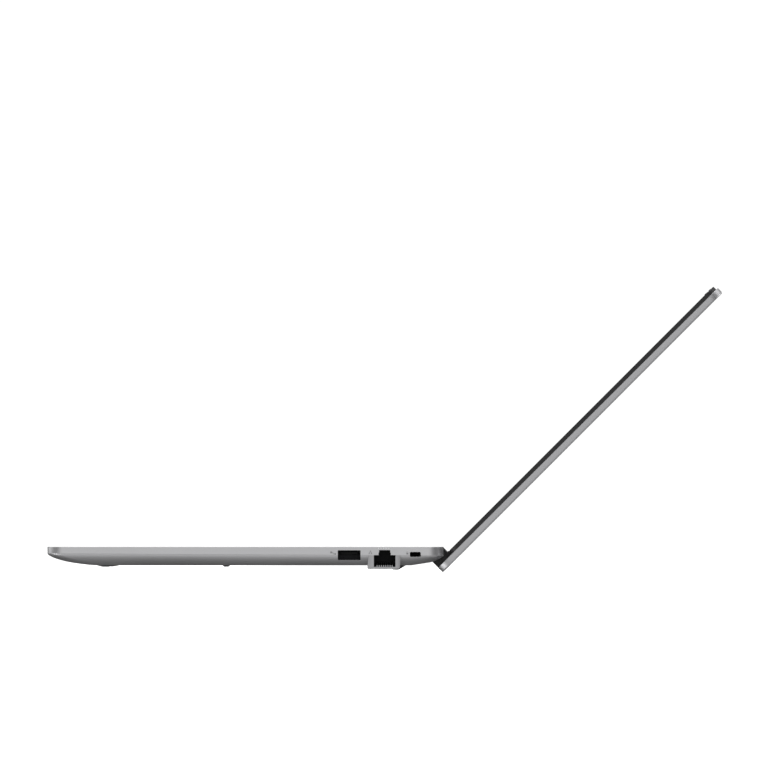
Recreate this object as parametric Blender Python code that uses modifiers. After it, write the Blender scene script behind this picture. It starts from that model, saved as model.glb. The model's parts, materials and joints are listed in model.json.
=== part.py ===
"""A 15.6 inch clamshell laptop computer with its lid open at 135 degrees.

Sizes are in millimetres, and the helpers turn them into Blender's metres.
Base frame: X = 0 is the middle of the width and +X the user's right, Y = 0 the base's front edge
and +Y the rear, Z = 0 the flat underside. Lid frame: the same directions with the lid closed,
measured from the hinge axis. The base and lid empties place both frames in the scene.
"""

import math

import bmesh
import bpy
from mathutils import Matrix, Vector

MM = 0.001
GAP = 0.3  # clearance kept between neighbouring pieces

# Base
BASE_WIDTH = 359.5
BASE_DEPTH = 232.5
DECK_Z = 10.9
WALL = 1.2
HALF_WIDTH = BASE_WIDTH / 2
CORNER_R = 9.0
DECK_CHAMFER = 0.4
SEAM_FRONT_Z, SEAM_REAR_Z = 7.2, 6.0  # height of the crease between the covers
CURVE_FRONT, CURVE_SIDE, CURVE_REAR = 29.5, 14.0, 8.0  # how far in the underside's curve reaches
CURVE_POWER = 1.25
UNDER_CORNER_R = 16.0  # front corner radius of the flat underside
KINK_Y, KINK_SLOPE = 213.5, 0.155  # the underside rises behind this line
NOTCH_X, NOTCH_Y = 143.8, 221.2  # hinge slot in the rear edge

# Hinge and lid
AXIS_Y, AXIS_Z = 227.7, 6.9
OPEN_ANGLE = math.radians(135)
LID_FRONT, LID_REAR = -227.6, 4.7
LID_CORNER_R = 8.5
COVER_LOW, COVER_HIGH = 7.0, 11.0
BEZEL_LOW, BEZEL_HIGH = 4.5, 6.7
BARREL_R, PIN_R, BORE_R = 3.7, 1.9, 2.2
CAP_X = 139.5
KNUCKLE = (121.4, 139.4)
ARM_HUB = (139.9, 143.1)

# Ports: side, middle in Y, opening's width, low Z, high Z, corner radius, tongue's low and high Z
PORTS = {
    "usb_socket_right": (1, 177.25, 12.9, 3.4, 8.9, 0.4, (6.4, 8.0)),
    "video_socket": (-1, 190.0, 14.4, 4.0, 8.8, 0.8, (5.9, 7.3)),
    "usb_socket_left": (-1, 166.0, 12.9, 3.4, 8.9, 0.4, (6.4, 8.0)),
    "usb_c_socket_rear": (-1, 146.0, 9.0, 4.9, 8.1, 1.55, (6.1, 6.9)),
    "usb_c_socket_front": (-1, 130.0, 9.0, 4.9, 8.1, 1.55, (6.1, 6.9)),
    "audio_socket": (-1, 113.0, 4.6, 4.2, 8.8, 2.25, None),
}
SOCKET_BACK, SOCKET_FRONT = 165.8, 175.2
ETHERNET_Y = 198.1
BULGE_Y = (188.3, 207.7)
BULGE_X = (157.0, HALF_WIDTH)
BULGE_LOW = -1.9
LOCK_Y, LOCK_Z = (213.0, 219.0), (5.4, 8.05)

# Keyboard
KEY_PITCH, KEY_GAP = 18.2, 2.6
FUNCTION_DEPTH = 8.4
PAD_PITCH = 16.0
FIELD_X = 163.0
FIELD_FRONT, FIELD_REAR = 104.5, 205.5
CAP_LOW, CAP_HIGH = 8.0, 10.7
WEB_LOW, WEB_HIGH = 7.6, 8.1
SLOT_MARGIN = 0.35
PAD_KEYS = [PAD_PITCH / KEY_PITCH] * 4
ROWS = {  # key widths in key pitches, front to rear
    "lower_letter_row": [2.2] + [1] * 10 + [2.2],
    "home_row": [1.7] + [1] * 11 + [1.7],
    "top_letter_row": [1.4] + [1] * 13,
    "number_row": [1] * 13 + [1.4],
}
BOTTOM_LEFT_KEYS = [1.2, 1, 1, 1]
SPACE_BAR = [5.2]
BOTTOM_RIGHT_KEYS = [1] * 5

# Touchpad
TOUCHPAD_X, TOUCHPAD_Y, TOUCHPAD_Z = (-98.0, 26.0), (10.0, 86.0), (9.3, 10.65)

# Underside
SCREWS = [(x, y) for y in (44.0, 97.0) for x in (-150.0, 150.0)] + [(-40.0, 213.4), (40.0, 213.4)]
FRONT_FOOT_X, FRONT_FOOT_Y = (105.0, 135.0), (28.6, 39.4)
REAR_FOOT_X, REAR_FOOT_Y = (50.0, 155.0), (198.8, 209.8)
CENTRE_FOOT = (0.0, 103.5)
FOOT_TOP, SEAT_DEPTH = 0.2, 0.5
FAN_X, FAN_Y = 102.5, 162.5


# Helpers

def clear_scene():
    for obj in list(bpy.data.objects):
        bpy.data.objects.remove(obj, do_unlink=True)


def add_collection(name):
    collection = bpy.data.collections.new(name)
    bpy.context.scene.collection.children.link(collection)
    return collection


def add_empty(name, location, parent=None):
    empty = bpy.data.objects.new(name, None)
    empty.location = Vector(location) * MM
    empty.parent = parent
    parts.objects.link(empty)
    return empty


def add_material(name, colour, roughness, metallic=0.0):
    made = bpy.data.materials.new(name)
    made.use_nodes = True
    shader = made.node_tree.nodes["Principled BSDF"]
    shader.inputs["Base Color"].default_value = (*colour, 1.0)
    shader.inputs["Roughness"].default_value = roughness
    shader.inputs["Metallic"].default_value = metallic
    return made


def place(name, mesh, frame, look, centre=(0, 0, 0)):
    """Adds a piece, or a hidden cutter where it has no material."""
    obj = bpy.data.objects.new(name, mesh)
    obj.parent = frame
    obj.location = Vector(centre) * MM
    if look:
        mesh.materials.append(look)
        parts.objects.link(obj)
    else:
        helpers.objects.link(obj)
        obj.hide_render = True
        obj.display_type = "WIRE"
    return obj


def mesh_from(name, bm):
    """Turns a bmesh into a mesh whose faces point outwards."""
    bmesh.ops.recalc_face_normals(bm, faces=bm.faces)
    mesh = bpy.data.meshes.new(name)
    bm.to_mesh(mesh)
    bm.free()
    return mesh


def boxes(name, frame, spans, look=None):
    """Boxes in one mesh, each from its (low, high) spans in X, Y and Z."""
    middle = Vector([sum(span) / 2 for span in spans[0]])
    bm = bmesh.new()
    for span in spans:
        centre = Vector([(low + high) / 2 for low, high in span]) - middle
        size = [(high - low) * MM for low, high in span]
        bmesh.ops.create_cube(bm, size=1, matrix=Matrix.Translation(centre * MM) @ Matrix.Diagonal((*size, 1)))
    return place(name, mesh_from(name, bm), frame, look, middle)


def box(name, frame, x, y, z, look=None):
    return boxes(name, frame, [(x, y, z)], look)


def both_sides(span):
    """The same X span on the right and on the left."""
    return [span, (-span[1], -span[0])]


def cylinder(name, frame, centre, radius, length, look=None, axis="Z", top_radius=None, sides=24):
    """A cylinder or cone about its middle, along Z or X."""
    bm = bmesh.new()
    turn = Matrix.Rotation(math.pi / 2, 4, "Y") if axis == "X" else Matrix.Identity(4)
    top = radius if top_radius is None else top_radius
    bmesh.ops.create_cone(bm, cap_ends=True, segments=sides, radius1=radius * MM, radius2=top * MM,
                          depth=length * MM, matrix=turn)
    mesh = mesh_from(name, bm)
    mesh.shade_smooth()
    mesh.set_sharp_from_angle(angle=math.radians(40))
    return place(name, mesh, frame, look, centre)


def prism(name, frame, outline, span, look=None, along="Z"):
    """A flat outline given thickness: (x, y) points and a span in Z, or (y, z) points and a span in X."""
    curve = bpy.data.curves.new(name, "CURVE")
    curve.dimensions = "2D"
    curve.fill_mode = "BOTH"
    curve.extrude = (span[1] - span[0]) / 2 * MM
    spline = curve.splines.new("POLY")
    spline.points.add(len(outline) - 1)
    for point, (u, v) in zip(spline.points, outline):
        point.co = (u * MM, v * MM, 0, 1)
    spline.use_cyclic_u = True
    guide = bpy.data.objects.new(name, curve)
    helpers.objects.link(guide)
    middle = sum(span) / 2 * MM
    if along == "X":
        guide.rotation_euler = (math.pi / 2, 0, math.pi / 2)
        guide.location = (middle, 0, 0)
    else:
        guide.location = (0, 0, middle)
    bpy.context.view_layer.update()
    graph = bpy.context.evaluated_depsgraph_get()
    made = bpy.data.meshes.new_from_object(guide.evaluated_get(graph))
    made.transform(guide.matrix_world)
    bm = bmesh.new()
    bm.from_mesh(made)
    bmesh.ops.remove_doubles(bm, verts=bm.verts, dist=0.001 * MM)
    bpy.data.objects.remove(guide)
    bpy.data.meshes.remove(made)
    return place(name, mesh_from(name, bm), frame, look)


def arc(centre, radius, start, end, steps):
    """Points of an arc between two angles in degrees."""
    angles = [math.radians(start + (end - start) * i / steps) for i in range(steps + 1)]
    return [(centre[0] + radius * math.cos(a), centre[1] + radius * math.sin(a)) for a in angles]


def rounded_box(u, v, radius, steps=4):
    """A rectangle's outline with round corners, counter-clockwise from its lower right corner."""
    radius = min(radius, (u[1] - u[0]) / 2.02, (v[1] - v[0]) / 2.02)
    corners = [((u[1] - radius, v[0] + radius), -90), ((u[1] - radius, v[1] - radius), 0),
               ((u[0] + radius, v[1] - radius), 90), ((u[0] + radius, v[0] + radius), 180)]
    return [point for centre, start in corners for point in arc(centre, radius, start, start + 90, steps)]


def modify(obj, operation, *shapes):
    """Joins helper shapes to a piece, or cuts them out of it.

    The thin covers meet cutters almost along their rims, where the EXACT solver loses the whole shell.
    """
    for shape in shapes:
        modifier = obj.modifiers.new(shape.name, "BOOLEAN")
        modifier.operation = operation
        modifier.object = shape
        if obj.name in ("top_cover", "bottom_cover"):
            modifier.solver = "MANIFOLD"


def join(obj, *shapes):
    modify(obj, "UNION", *shapes)


def cut(obj, *shapes):
    modify(obj, "DIFFERENCE", *shapes)


# Base covers

def seam_z(y):
    return SEAM_FRONT_Z + (SEAM_REAR_Z - SEAM_FRONT_Z) * y / BASE_DEPTH


def base_ring(inset, height, notch_inset=0.0):
    """One level of the base's outline, counter-clockwise from the front right corner.

    inset holds the front, side and rear insets and the front corners' radius; height gives Z from Y.
    """
    front, side, rear, radius = inset
    x, y = HALF_WIDTH - side, BASE_DEPTH - rear
    slot = [(NOTCH_X + notch_inset, y), (NOTCH_X + notch_inset, NOTCH_Y - notch_inset)]
    right = arc((x - radius, front + radius), radius, -90, 0, 5) + [(x, KINK_Y)]
    right += arc((x - CORNER_R, y - CORNER_R), CORNER_R, 0, 90, 4) + slot
    outline = right + [(-u, v) for u, v in reversed(right)]
    return [(u, v, height(v)) for u, v in outline]


def under_ring(angle):
    """A level of the underside's curve, from 0 degrees at the crease to 90 at the flat underside."""
    across = 1 - math.cos(math.radians(angle)) ** CURVE_POWER if angle < 90 else 1.0
    down = math.sin(math.radians(angle)) ** CURVE_POWER
    radius = CORNER_R + (UNDER_CORNER_R - CORNER_R) * across
    inset = (CURVE_FRONT * across, CURVE_SIDE * across, CURVE_REAR * across, radius)

    def height(y):
        return seam_z(y) * (1 - down) + KINK_SLOPE * max(0.0, y - KINK_Y) * down

    return base_ring(inset, height)


def skin(bm, rings):
    """Faces between rings of equally many points, and the rings' vertices."""
    levels = [[bm.verts.new(Vector(point) * MM) for point in ring] for ring in rings]
    for above, below in zip(levels, levels[1:]):
        for i in range(len(above)):
            j = (i + 1) % len(above)
            bm.faces.new((above[i], below[i], below[j], above[j]))
    return levels


def loft(name, frame, rings, caps, look):
    """A shell of the wall's thickness inside rings of points, closed by faces on the last ring."""
    bm = bmesh.new()
    levels = skin(bm, rings)
    for cap in caps:
        bm.faces.new([levels[-1][i] for i in cap])
    obj = place(name, mesh_from(name, bm), frame, look)
    solidify = obj.modifiers.new("wall", "SOLIDIFY")
    solidify.thickness = WALL * MM
    solidify.offset = -1
    solidify.use_even_offset = True
    return obj


def port_cutters(name, frame, port):
    """A port's opening through the wall, and the room behind it for the socket."""
    side, y, width, low, high, radius, _ = port
    outline = rounded_box((y - width / 2, y + width / 2), (low, high), radius)
    opening = prism(name + "_opening", frame, outline, sorted((side * 170.0, side * 182.0)), along="X")
    room = box(name + "_room", frame, sorted((side * 160.0, side * (SOCKET_FRONT + GAP))),
               (y - width / 2 - 0.7, y + width / 2 + 0.7), (low - 0.7, high + 0.7))
    return [opening, room]


def curve_inset(y, z):
    """How far the underside's curve lies inside the side plane at a height below the crease."""
    sine = (1 - z / seam_z(y)) ** (1 / CURVE_POWER)
    return CURVE_SIDE * (1 - (1 - sine**2) ** (CURVE_POWER / 2))


def port_frames(name, frame, above):
    """Blocks behind the wall that the ports open through, on the part of the cover above or below the crease."""
    spans = []
    for side, y, width, low, high, _, _ in PORTS.values():
        reach = (y - width / 2 - 2, y + width / 2 + 2)
        tall = (seam_z(reach[0]) + GAP, DECK_Z - 0.5) if above else (low - 0.4, seam_z(reach[1]) - GAP)
        outer = HALF_WIDTH - (0.6 if above else 0.1 + curve_inset(y, low - 0.4))
        spans.append((sorted((side * SOCKET_FRONT, side * outer)), reach, tall))
    return boxes(name, frame, spans)


def ethernet_outline(margin):
    """The jack's opening: the plug's square and the latch's slot above it, which narrows at its top."""
    wide, step, latch = 6.2 - margin, 3.5 - margin, 2.3 - margin
    right = [(wide, -0.6 + margin), (wide, 6.1 - margin), (step, 6.1 - margin), (step, 8.0 - margin),
             (latch, 8.7 - margin), (latch, 9.1 - margin)]
    return [(ETHERNET_Y + u, v) for u, v in right] + [(ETHERNET_Y - u, v) for u, v in reversed(right)]


def wall_openings(frame):
    """Cutters that pass through both covers' walls."""
    shapes = [shape for name, port in PORTS.items() for shape in port_cutters(name, frame, port)]
    shapes.append(prism("ethernet_opening", frame, ethernet_outline(0), (170.0, 182.0), along="X"))
    shapes.append(box("lock_opening", frame, (176.9, 183.0), LOCK_Y, LOCK_Z))
    shapes.append(box("lock_room", frame, (174.0, 176.9), (210.6, 219.6), (4.3, 9.3)))
    windows = [(x, (218.0, 223.0), (5.2, 7.2)) for x in both_sides((KNUCKLE[0] - 0.5, KNUCKLE[1] + 0.5))]
    shapes.append(boxes("bracket_windows", frame, windows))
    return shapes


def build_top_cover(frame, openings):
    """The deck and the upper side wall, in one formed shell."""
    edge = (0, 0, 0, CORNER_R)
    inner = (DECK_CHAMFER, DECK_CHAMFER, DECK_CHAMFER, CORNER_R - DECK_CHAMFER)
    rings = [
        base_ring(edge, lambda y: seam_z(y) + GAP / 2),
        base_ring(edge, lambda y: DECK_Z - DECK_CHAMFER),
        base_ring(inner, lambda y: DECK_Z, DECK_CHAMFER),
    ]
    cover = loft("top_cover", frame, rings, [range(len(rings[0]))], look_case)
    join(cover, port_frames("top_port_frames", frame, above=True))
    deck = (9.0, 12.0)
    keys = box("keyboard_opening", frame, (-FIELD_X - 1, FIELD_X + 1), (FIELD_FRONT - 1, FIELD_REAR + 1), deck)
    pad = box("touchpad_opening", frame, (TOUCHPAD_X[0] - 1, TOUCHPAD_X[1] + 1),
              (TOUCHPAD_Y[0] - 1, TOUCHPAD_Y[1] + 1), deck)
    cut(cover, keys, pad, *openings)


def screw_bosses(frame):
    """The posts that the cover's screws pass through, and their bores with the heads' seats."""
    bosses = [cylinder(f"boss_{i}", frame, (x, y, 5.0), 4.4, 8.4) for i, (x, y) in enumerate(SCREWS)]
    bores = [cylinder(f"bore_{i}", frame, (x, y, 5.0), 1.5, 14.0) for i, (x, y) in enumerate(SCREWS)]
    seats = [cylinder(f"seat_{i}", frame, (x, y, 0.0), 3.1, 2.4) for i, (x, y) in enumerate(SCREWS)]
    return bosses, bores + seats


def vent_slots(frame):
    """Intake slots under the fan, exhaust slots behind the heat sink and grilles under the speakers."""
    spans = [((80 + 4 * i, 82 + 4 * i), (143.0, 182.0), (-1.0, 1.7)) for i in range(12)]
    spans += [((73 + 3.4 * i, 75.2 + 3.4 * i), (219.0, 222.5), (2.6, 4.7)) for i in range(14)]
    for x in both_sides((116.0, 138.0)):
        spans += [(x, (52 + 3 * i, 53.5 + 3 * i), (-1.0, 1.7)) for i in range(5)]
    return boxes("vent_slots", frame, spans)


def build_bottom_cover(frame, openings):
    """The curved tub under the base, with the Ethernet jack's bulge and the screw bosses."""
    edge = (0, 0, 0, CORNER_R)
    rings = [base_ring(edge, lambda y: seam_z(y) - 0.35), base_ring(edge, lambda y: seam_z(y) - GAP / 2)]
    rings = rings[::-1] + [under_ring(angle) for angle in (12, 24, 38, 54, 72, 90)]
    count = len(rings[0])
    kink = next(i for i, point in enumerate(rings[0]) if point[1] == KINK_Y)
    other = count - 1 - kink
    front = [*range(kink + 1), *range(other, count)]
    cover = loft("bottom_cover", frame, rings, [front, range(kink, other + 1)], look_case)
    low, high = BULGE_Y
    bevel = 1.1
    profile = [(low, 5.9), (low, BULGE_LOW + bevel), (low + bevel, BULGE_LOW), (high - bevel, BULGE_LOW),
               (high, BULGE_LOW + bevel), (high, 5.9)]
    bulge = prism("ethernet_bulge", frame, profile, BULGE_X, along="X")
    bosses, bores = screw_bosses(frame)
    join(cover, bulge, port_frames("bottom_port_frames", frame, above=False), *bosses)
    room = box("ethernet_room", frame, (BULGE_X[0] + WALL, BULGE_X[1] - 1.25), (low + WALL, high - WALL),
               (BULGE_LOW + WALL, 8.0))
    above_floor = box("bulge_trim", frame, (150.0, 171.5), (low - 1, high + 1), (WALL + 0.2, 8.0))
    cut(cover, room, above_floor, vent_slots(frame), *bores, *foot_seats(frame), *openings)


# Feet and screws

def foot_seats(frame):
    """Shallow recesses that the feet are glued into."""
    rear = [(x, (REAR_FOOT_Y[0] - GAP, REAR_FOOT_Y[1] + GAP), (-1.0, SEAT_DEPTH))
            for x in both_sides((REAR_FOOT_X[0] - GAP, REAR_FOOT_X[1] + GAP))]
    front = [(x, (FRONT_FOOT_Y[0] - GAP, FRONT_FOOT_Y[1] + GAP), (-1.0, SEAT_DEPTH))
             for x in both_sides((FRONT_FOOT_X[0] - GAP, FRONT_FOOT_X[1] + GAP))]
    round_seat = cylinder("centre_foot_seat", frame, (*CENTRE_FOOT, 0.0), 2.5, 2 * SEAT_DEPTH)
    return [boxes("foot_seats", frame, rear + front), round_seat]


def build_feet(frame):
    for side, x in zip(("right", "left"), both_sides(FRONT_FOOT_X)):
        low, high = FRONT_FOOT_Y
        profile = [(low, FOOT_TOP), (low, -0.1), (32.2, -0.79), (34.8, -0.79), (high, -0.1), (high, FOOT_TOP)]
        prism(f"front_foot_{side}", frame, profile, x, look_rubber, along="X")
    for side, x in zip(("right", "left"), both_sides(REAR_FOOT_X)):
        low, high = REAR_FOOT_Y
        profile = [(low, FOOT_TOP), (low, -0.2), (203.0, -2.6), (206.0, -2.6), (high, -0.2), (high, FOOT_TOP)]
        prism(f"rear_foot_{side}", frame, profile, x, look_rubber, along="X")
    cylinder("centre_foot", frame, (*CENTRE_FOOT, (FOOT_TOP - 0.97) / 2), 1.3, FOOT_TOP + 0.97, look_rubber,
             top_radius=2.2, sides=16)


def build_screws(frame):
    for i, (x, y) in enumerate(SCREWS):
        head = cylinder(f"cover_screw_{i + 1}", frame, (x, y, 0.65), 2.7, 0.6, look_steel, sides=16)
        join(head, cylinder(f"screw_shank_{i + 1}", frame, (x, y, 4.4), 1.1, 7.4, sides=12))


# Sockets

def build_socket(name, port, frame):
    side, y, width, low, high, radius, tongue = port
    depth = sorted((side * SOCKET_BACK, side * SOCKET_FRONT))
    wall = 0.35
    body = box(name, frame, depth, (y - width / 2 - wall, y + width / 2 + wall), (low - wall, high + wall),
               look_metal)
    outline = rounded_box((y - width / 2 + 0.2, y + width / 2 - 0.2), (low + 0.2, high - 0.2), radius)
    cut(body, prism(name + "_mouth", frame, outline, sorted((side * (SOCKET_BACK + 1), side * 178.0)), along="X"))
    if tongue:
        reach = sorted((side * (SOCKET_BACK + 0.5), side * (SOCKET_FRONT - 0.9)))
        join(body, box(name + "_tongue", frame, reach, (y - width / 2 + 1.2, y + width / 2 - 1.2), tongue))


def build_ethernet_socket(frame):
    front = BULGE_X[1] - 1.25 - GAP
    body = box("ethernet_socket", frame, (SOCKET_BACK, front),
               (BULGE_Y[0] + WALL + GAP, BULGE_Y[1] - WALL - GAP), (BULGE_LOW + WALL + GAP, 9.4), look_socket)
    cut(body, prism("ethernet_mouth", frame, ethernet_outline(0.3), (SOCKET_BACK + 1.2, 180.0), along="X"))
    pitch = 1.27
    fingers = [((SOCKET_BACK + 2, front - 1.2), (ETHERNET_Y + pitch * (i - 3.5) - 0.25,
                ETHERNET_Y + pitch * (i - 3.5) + 0.25), (-0.4, 0.6)) for i in range(8)]
    join(body, boxes("ethernet_fingers", frame, fingers))


def build_lock_plate(frame):
    """The steel plate behind the wall that a cable lock grips."""
    plate = box("lock_slot_plate", frame, (174.6, 176.6), (211.0, 219.2), (4.6, 9.0), look_steel)
    cut(plate, box("lock_plate_slot", frame, (174.0, 177.0), (LOCK_Y[0] + 0.3, LOCK_Y[1] - 0.6),
                   (LOCK_Z[0] + 0.3, LOCK_Z[1] - 0.3)))


# Insides

def build_cooling(frame):
    housing = box("fan_housing", frame, (FAN_X - 27.5, FAN_X + 27.5), (135.0, 190.0), (1.7, 5.2), look_socket)
    cut(housing,
        cylinder("fan_chamber", frame, (FAN_X, FAN_Y, 3.45), 25.2, 2.3, sides=32),
        cylinder("fan_intake", frame, (FAN_X, FAN_Y, 3.45), 16.0, 6.0, sides=24),
        box("fan_outlet", frame, (FAN_X - 22, FAN_X + 22), (FAN_Y + 10, 192.0), (2.3, 4.6)))
    rotor = cylinder("fan_rotor", frame, (FAN_X, FAN_Y, 3.45), 10.0, 1.7, look_socket, sides=20)
    blades = 13
    bm = bmesh.new()
    for i in range(blades):
        turn = Matrix.Rotation(2 * math.pi * i / blades, 4, "Z") @ Matrix.Translation((15.2 * MM, 0, 0))
        lean = Matrix.Rotation(math.radians(28), 4, "Z") @ Matrix.Diagonal((16 * MM, 0.7 * MM, 1.5 * MM, 1))
        bmesh.ops.create_cube(bm, size=1, matrix=turn @ lean)
    join(rotor, place("fan_blades", mesh_from("fan_blades", bm), frame, None, (FAN_X, FAN_Y, 3.45)))
    sink = box("heat_sink", frame, (72.0, 132.0), (200.8, 219.0), (2.6, 5.1), look_metal)
    fins = [((74 + 3 * i, 76 + 3 * i), (200.0, 220.0), (3.1, 4.7)) for i in range(19)]
    cut(sink, boxes("fin_gaps", frame, fins))
    route = [(-30.0, 150.0), (10.0, 150.0), (60.0, 196.0), (132.0, 196.0)]
    half = 3.0
    outline = [(u, v - half) for u, v in route] + [(u, v + half) for u, v in reversed(route)]
    prism("heat_pipe", frame, outline, (1.8, 3.0), look_copper)


def build_insides(frame):
    box("battery", frame, (-105.0, 105.0), (32.0, 96.0), (1.8, 7.8), look_black)
    for side, x in zip(("right", "left"), both_sides((112.0, 142.0))):
        box(f"speaker_{side}", frame, x, (46.0, 78.0), (1.9, 7.5), look_black)
    box("motherboard", frame, (-163.0, 62.0), (108.0, 205.0), (3.5, 4.5), look_board)
    box("ssd", frame, (-20.0, 60.0), (112.0, 134.0), (1.8, 3.1), look_board)
    box("memory_module", frame, (-110.0, -42.0), (115.0, 145.0), (1.8, 3.1), look_board)
    box("wireless_card", frame, (-155.0, -125.0), (120.0, 142.0), (1.8, 3.1), look_board)
    build_cooling(frame)


# Keyboard, power button and touchpad

def key_spans(widths, left, front, depth, pitch=KEY_PITCH):
    """The boxes of a row's keys, from their widths in key pitches."""
    spans = []
    for width in widths:
        right = left + width * pitch
        spans.append(((left + KEY_GAP / 2, right - KEY_GAP / 2), (front, front + depth), (CAP_LOW, CAP_HIGH)))
        left = right
    return spans


def build_keys(name, frame, spans):
    """A group of key caps on the hidden web that carries them."""
    x = (spans[0][0][0], spans[-1][0][1])
    y = (spans[0][1][0] + 3, spans[0][1][1] - 3)
    group = box(name, frame, x, y, (WEB_LOW, WEB_HIGH), look_keys)
    join(group, boxes(name + "_caps", frame, spans))
    slot = [(low - SLOT_MARGIN, high + SLOT_MARGIN) for low, high in (x, spans[0][1])]
    return (*slot, (7.0, 10.0))


def build_keyboard(frame):
    depth = KEY_PITCH - KEY_GAP
    front = FIELD_FRONT + KEY_GAP / 2 - 0.2
    left = -FIELD_X
    slots = []
    for name, widths in (("bottom_left_keys", BOTTOM_LEFT_KEYS), ("space_bar", SPACE_BAR),
                         ("bottom_right_keys", BOTTOM_RIGHT_KEYS + PAD_KEYS)):
        slots.append(build_keys(name, frame, key_spans(widths, left, front, depth)))
        left += sum(widths) * KEY_PITCH
    for i, (name, widths) in enumerate(ROWS.items(), 1):
        spans = key_spans(widths + PAD_KEYS, -FIELD_X, front + i * KEY_PITCH, depth)
        slots.append(build_keys(name, frame, spans))
    function_front = front + 5 * KEY_PITCH
    functions = 19
    widths = [2 * FIELD_X / KEY_PITCH / (functions + 1)] * functions
    slots.append(build_keys("function_row", frame, key_spans(widths, -FIELD_X, function_front, FUNCTION_DEPTH)))
    button_x = (FIELD_X - 2 * FIELD_X / (functions + 1) + KEY_GAP / 2, FIELD_X - KEY_GAP / 2)
    button_y = (function_front, function_front + FUNCTION_DEPTH)
    box("power_button", frame, button_x, button_y, (7.7, CAP_HIGH - 0.2), look_keys)
    slots.append([(low - SLOT_MARGIN, high + SLOT_MARGIN) for low, high in (button_x, button_y)] + [(7.0, 10.0)])
    plate = (FIELD_X + 2.2, (FIELD_FRONT - 2.6, FIELD_REAR + 2.6))
    holder = box("keyboard_frame", frame, (-plate[0], plate[0]), plate[1], (8.4, 9.2), look_keys)
    cut(holder, boxes("key_slots", frame, slots))
    box("keyboard_plate", frame, (-plate[0] + 0.6, plate[0] - 0.6), (plate[1][0] + 0.6, plate[1][1] - 0.6),
        (5.6, 6.1), look_steel)


def build_touchpad(frame):
    """The touchpad tips about its rear edge, where its origin lies."""
    outline = rounded_box(TOUCHPAD_X, (TOUCHPAD_Y[0] - TOUCHPAD_Y[1], 0.0), 2.0, 3)
    pivot = add_empty("touchpad_pivot", (0, TOUCHPAD_Y[1], TOUCHPAD_Z[0]), frame)
    prism("touchpad", pivot, outline, (0.0, TOUCHPAD_Z[1] - TOUCHPAD_Z[0]), look_case)


# Hinges

def build_rear_rail(frame):
    """The dark rail across the back that the lid turns about, from one hinge to the other."""
    length = 2 * (KNUCKLE[0] - 0.4)
    rail = cylinder("rear_rail", frame, (0, AXIS_Y, AXIS_Z), BARREL_R, length, look_hinge, "X", sides=28)
    neck = (NOTCH_Y + GAP, AXIS_Y - 3.2)
    join(rail, box("rail_neck", frame, (-length / 2, length / 2), neck, (AXIS_Z - 1.35, AXIS_Z - 0.05)))


def build_hinge(side, sign, base, lid):
    """One hinge: the bracket screwed to the base, the pin, and the arm that carries the lid."""
    def along(span):
        return sorted((sign * span[0], sign * span[1]))

    def middle(span):
        return sign * sum(span) / 2

    knuckle_length = KNUCKLE[1] - KNUCKLE[0]
    bracket = cylinder(f"hinge_bracket_{side}", base, (middle(KNUCKLE), AXIS_Y, AXIS_Z), BARREL_R,
                       knuckle_length, look_hinge, "X", sides=28)
    join(bracket, box(f"bracket_leaf_{side}", base, along(KNUCKLE), (AXIS_Y - 17, AXIS_Y - 3),
                      (AXIS_Z - 1.35, AXIS_Z - 0.05)))
    bore = cylinder(f"hinge_bore_{side}", base, (middle((130, 142)), AXIS_Y, AXIS_Z), BORE_R, 60.0, None, "X")
    cut(bracket, bore)

    hub_length = ARM_HUB[1] - ARM_HUB[0]
    arm = cylinder(f"hinge_arm_{side}", lid, (middle(ARM_HUB), 0, 0), 3.5, hub_length, look_hinge, "X", sides=28)
    join(arm, box(f"arm_upright_{side}", lid, along(ARM_HUB), (-3.3, 3.3), (0.0, 9.3)),
         box(f"arm_leaf_{side}", lid, along((126.0, ARM_HUB[1])), (-60.0, 3.3), (8.35, 9.3)))
    cut(arm, cylinder(f"arm_bore_{side}", lid, (middle(ARM_HUB), 0, 0), BORE_R, 60.0, None, "X"))
    pin = (KNUCKLE[0] + 0.6, ARM_HUB[1])
    cylinder(f"hinge_pin_{side}", lid, (middle(pin), 0, 0), PIN_R, pin[1] - pin[0], look_steel, "X")


# Lid

def lid_ring(inset, z):
    radius = max(LID_CORNER_R - inset, 1.0)
    x = HALF_WIDTH - inset
    return [(u, v, z) for u, v in rounded_box((-x, x), (LID_FRONT + inset, LID_REAR - inset), radius, 5)]


def build_lid_cover(frame):
    """The lid's outer shell: a tray with rounded edges, open towards the screen."""
    rings = [lid_ring(0, COVER_LOW), lid_ring(0, 10.0), lid_ring(0.25, 10.7), lid_ring(0.9, COVER_HIGH)]
    bm = bmesh.new()
    levels = skin(bm, rings)
    bm.faces.new(levels[0])
    bm.faces.new(levels[-1])
    cover = place("lid_cover", mesh_from("lid_cover", bm), frame, look_case)
    cut(cover, box("lid_hollow", frame, (-178.3, 178.3), (-226.2, -8.5), (6.0, 9.8)),
        boxes("hinge_pockets", frame, [(x, (-10.0, 3.8), (6.0, 9.75)) for x in both_sides((125.5, 143.6))]))


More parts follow.
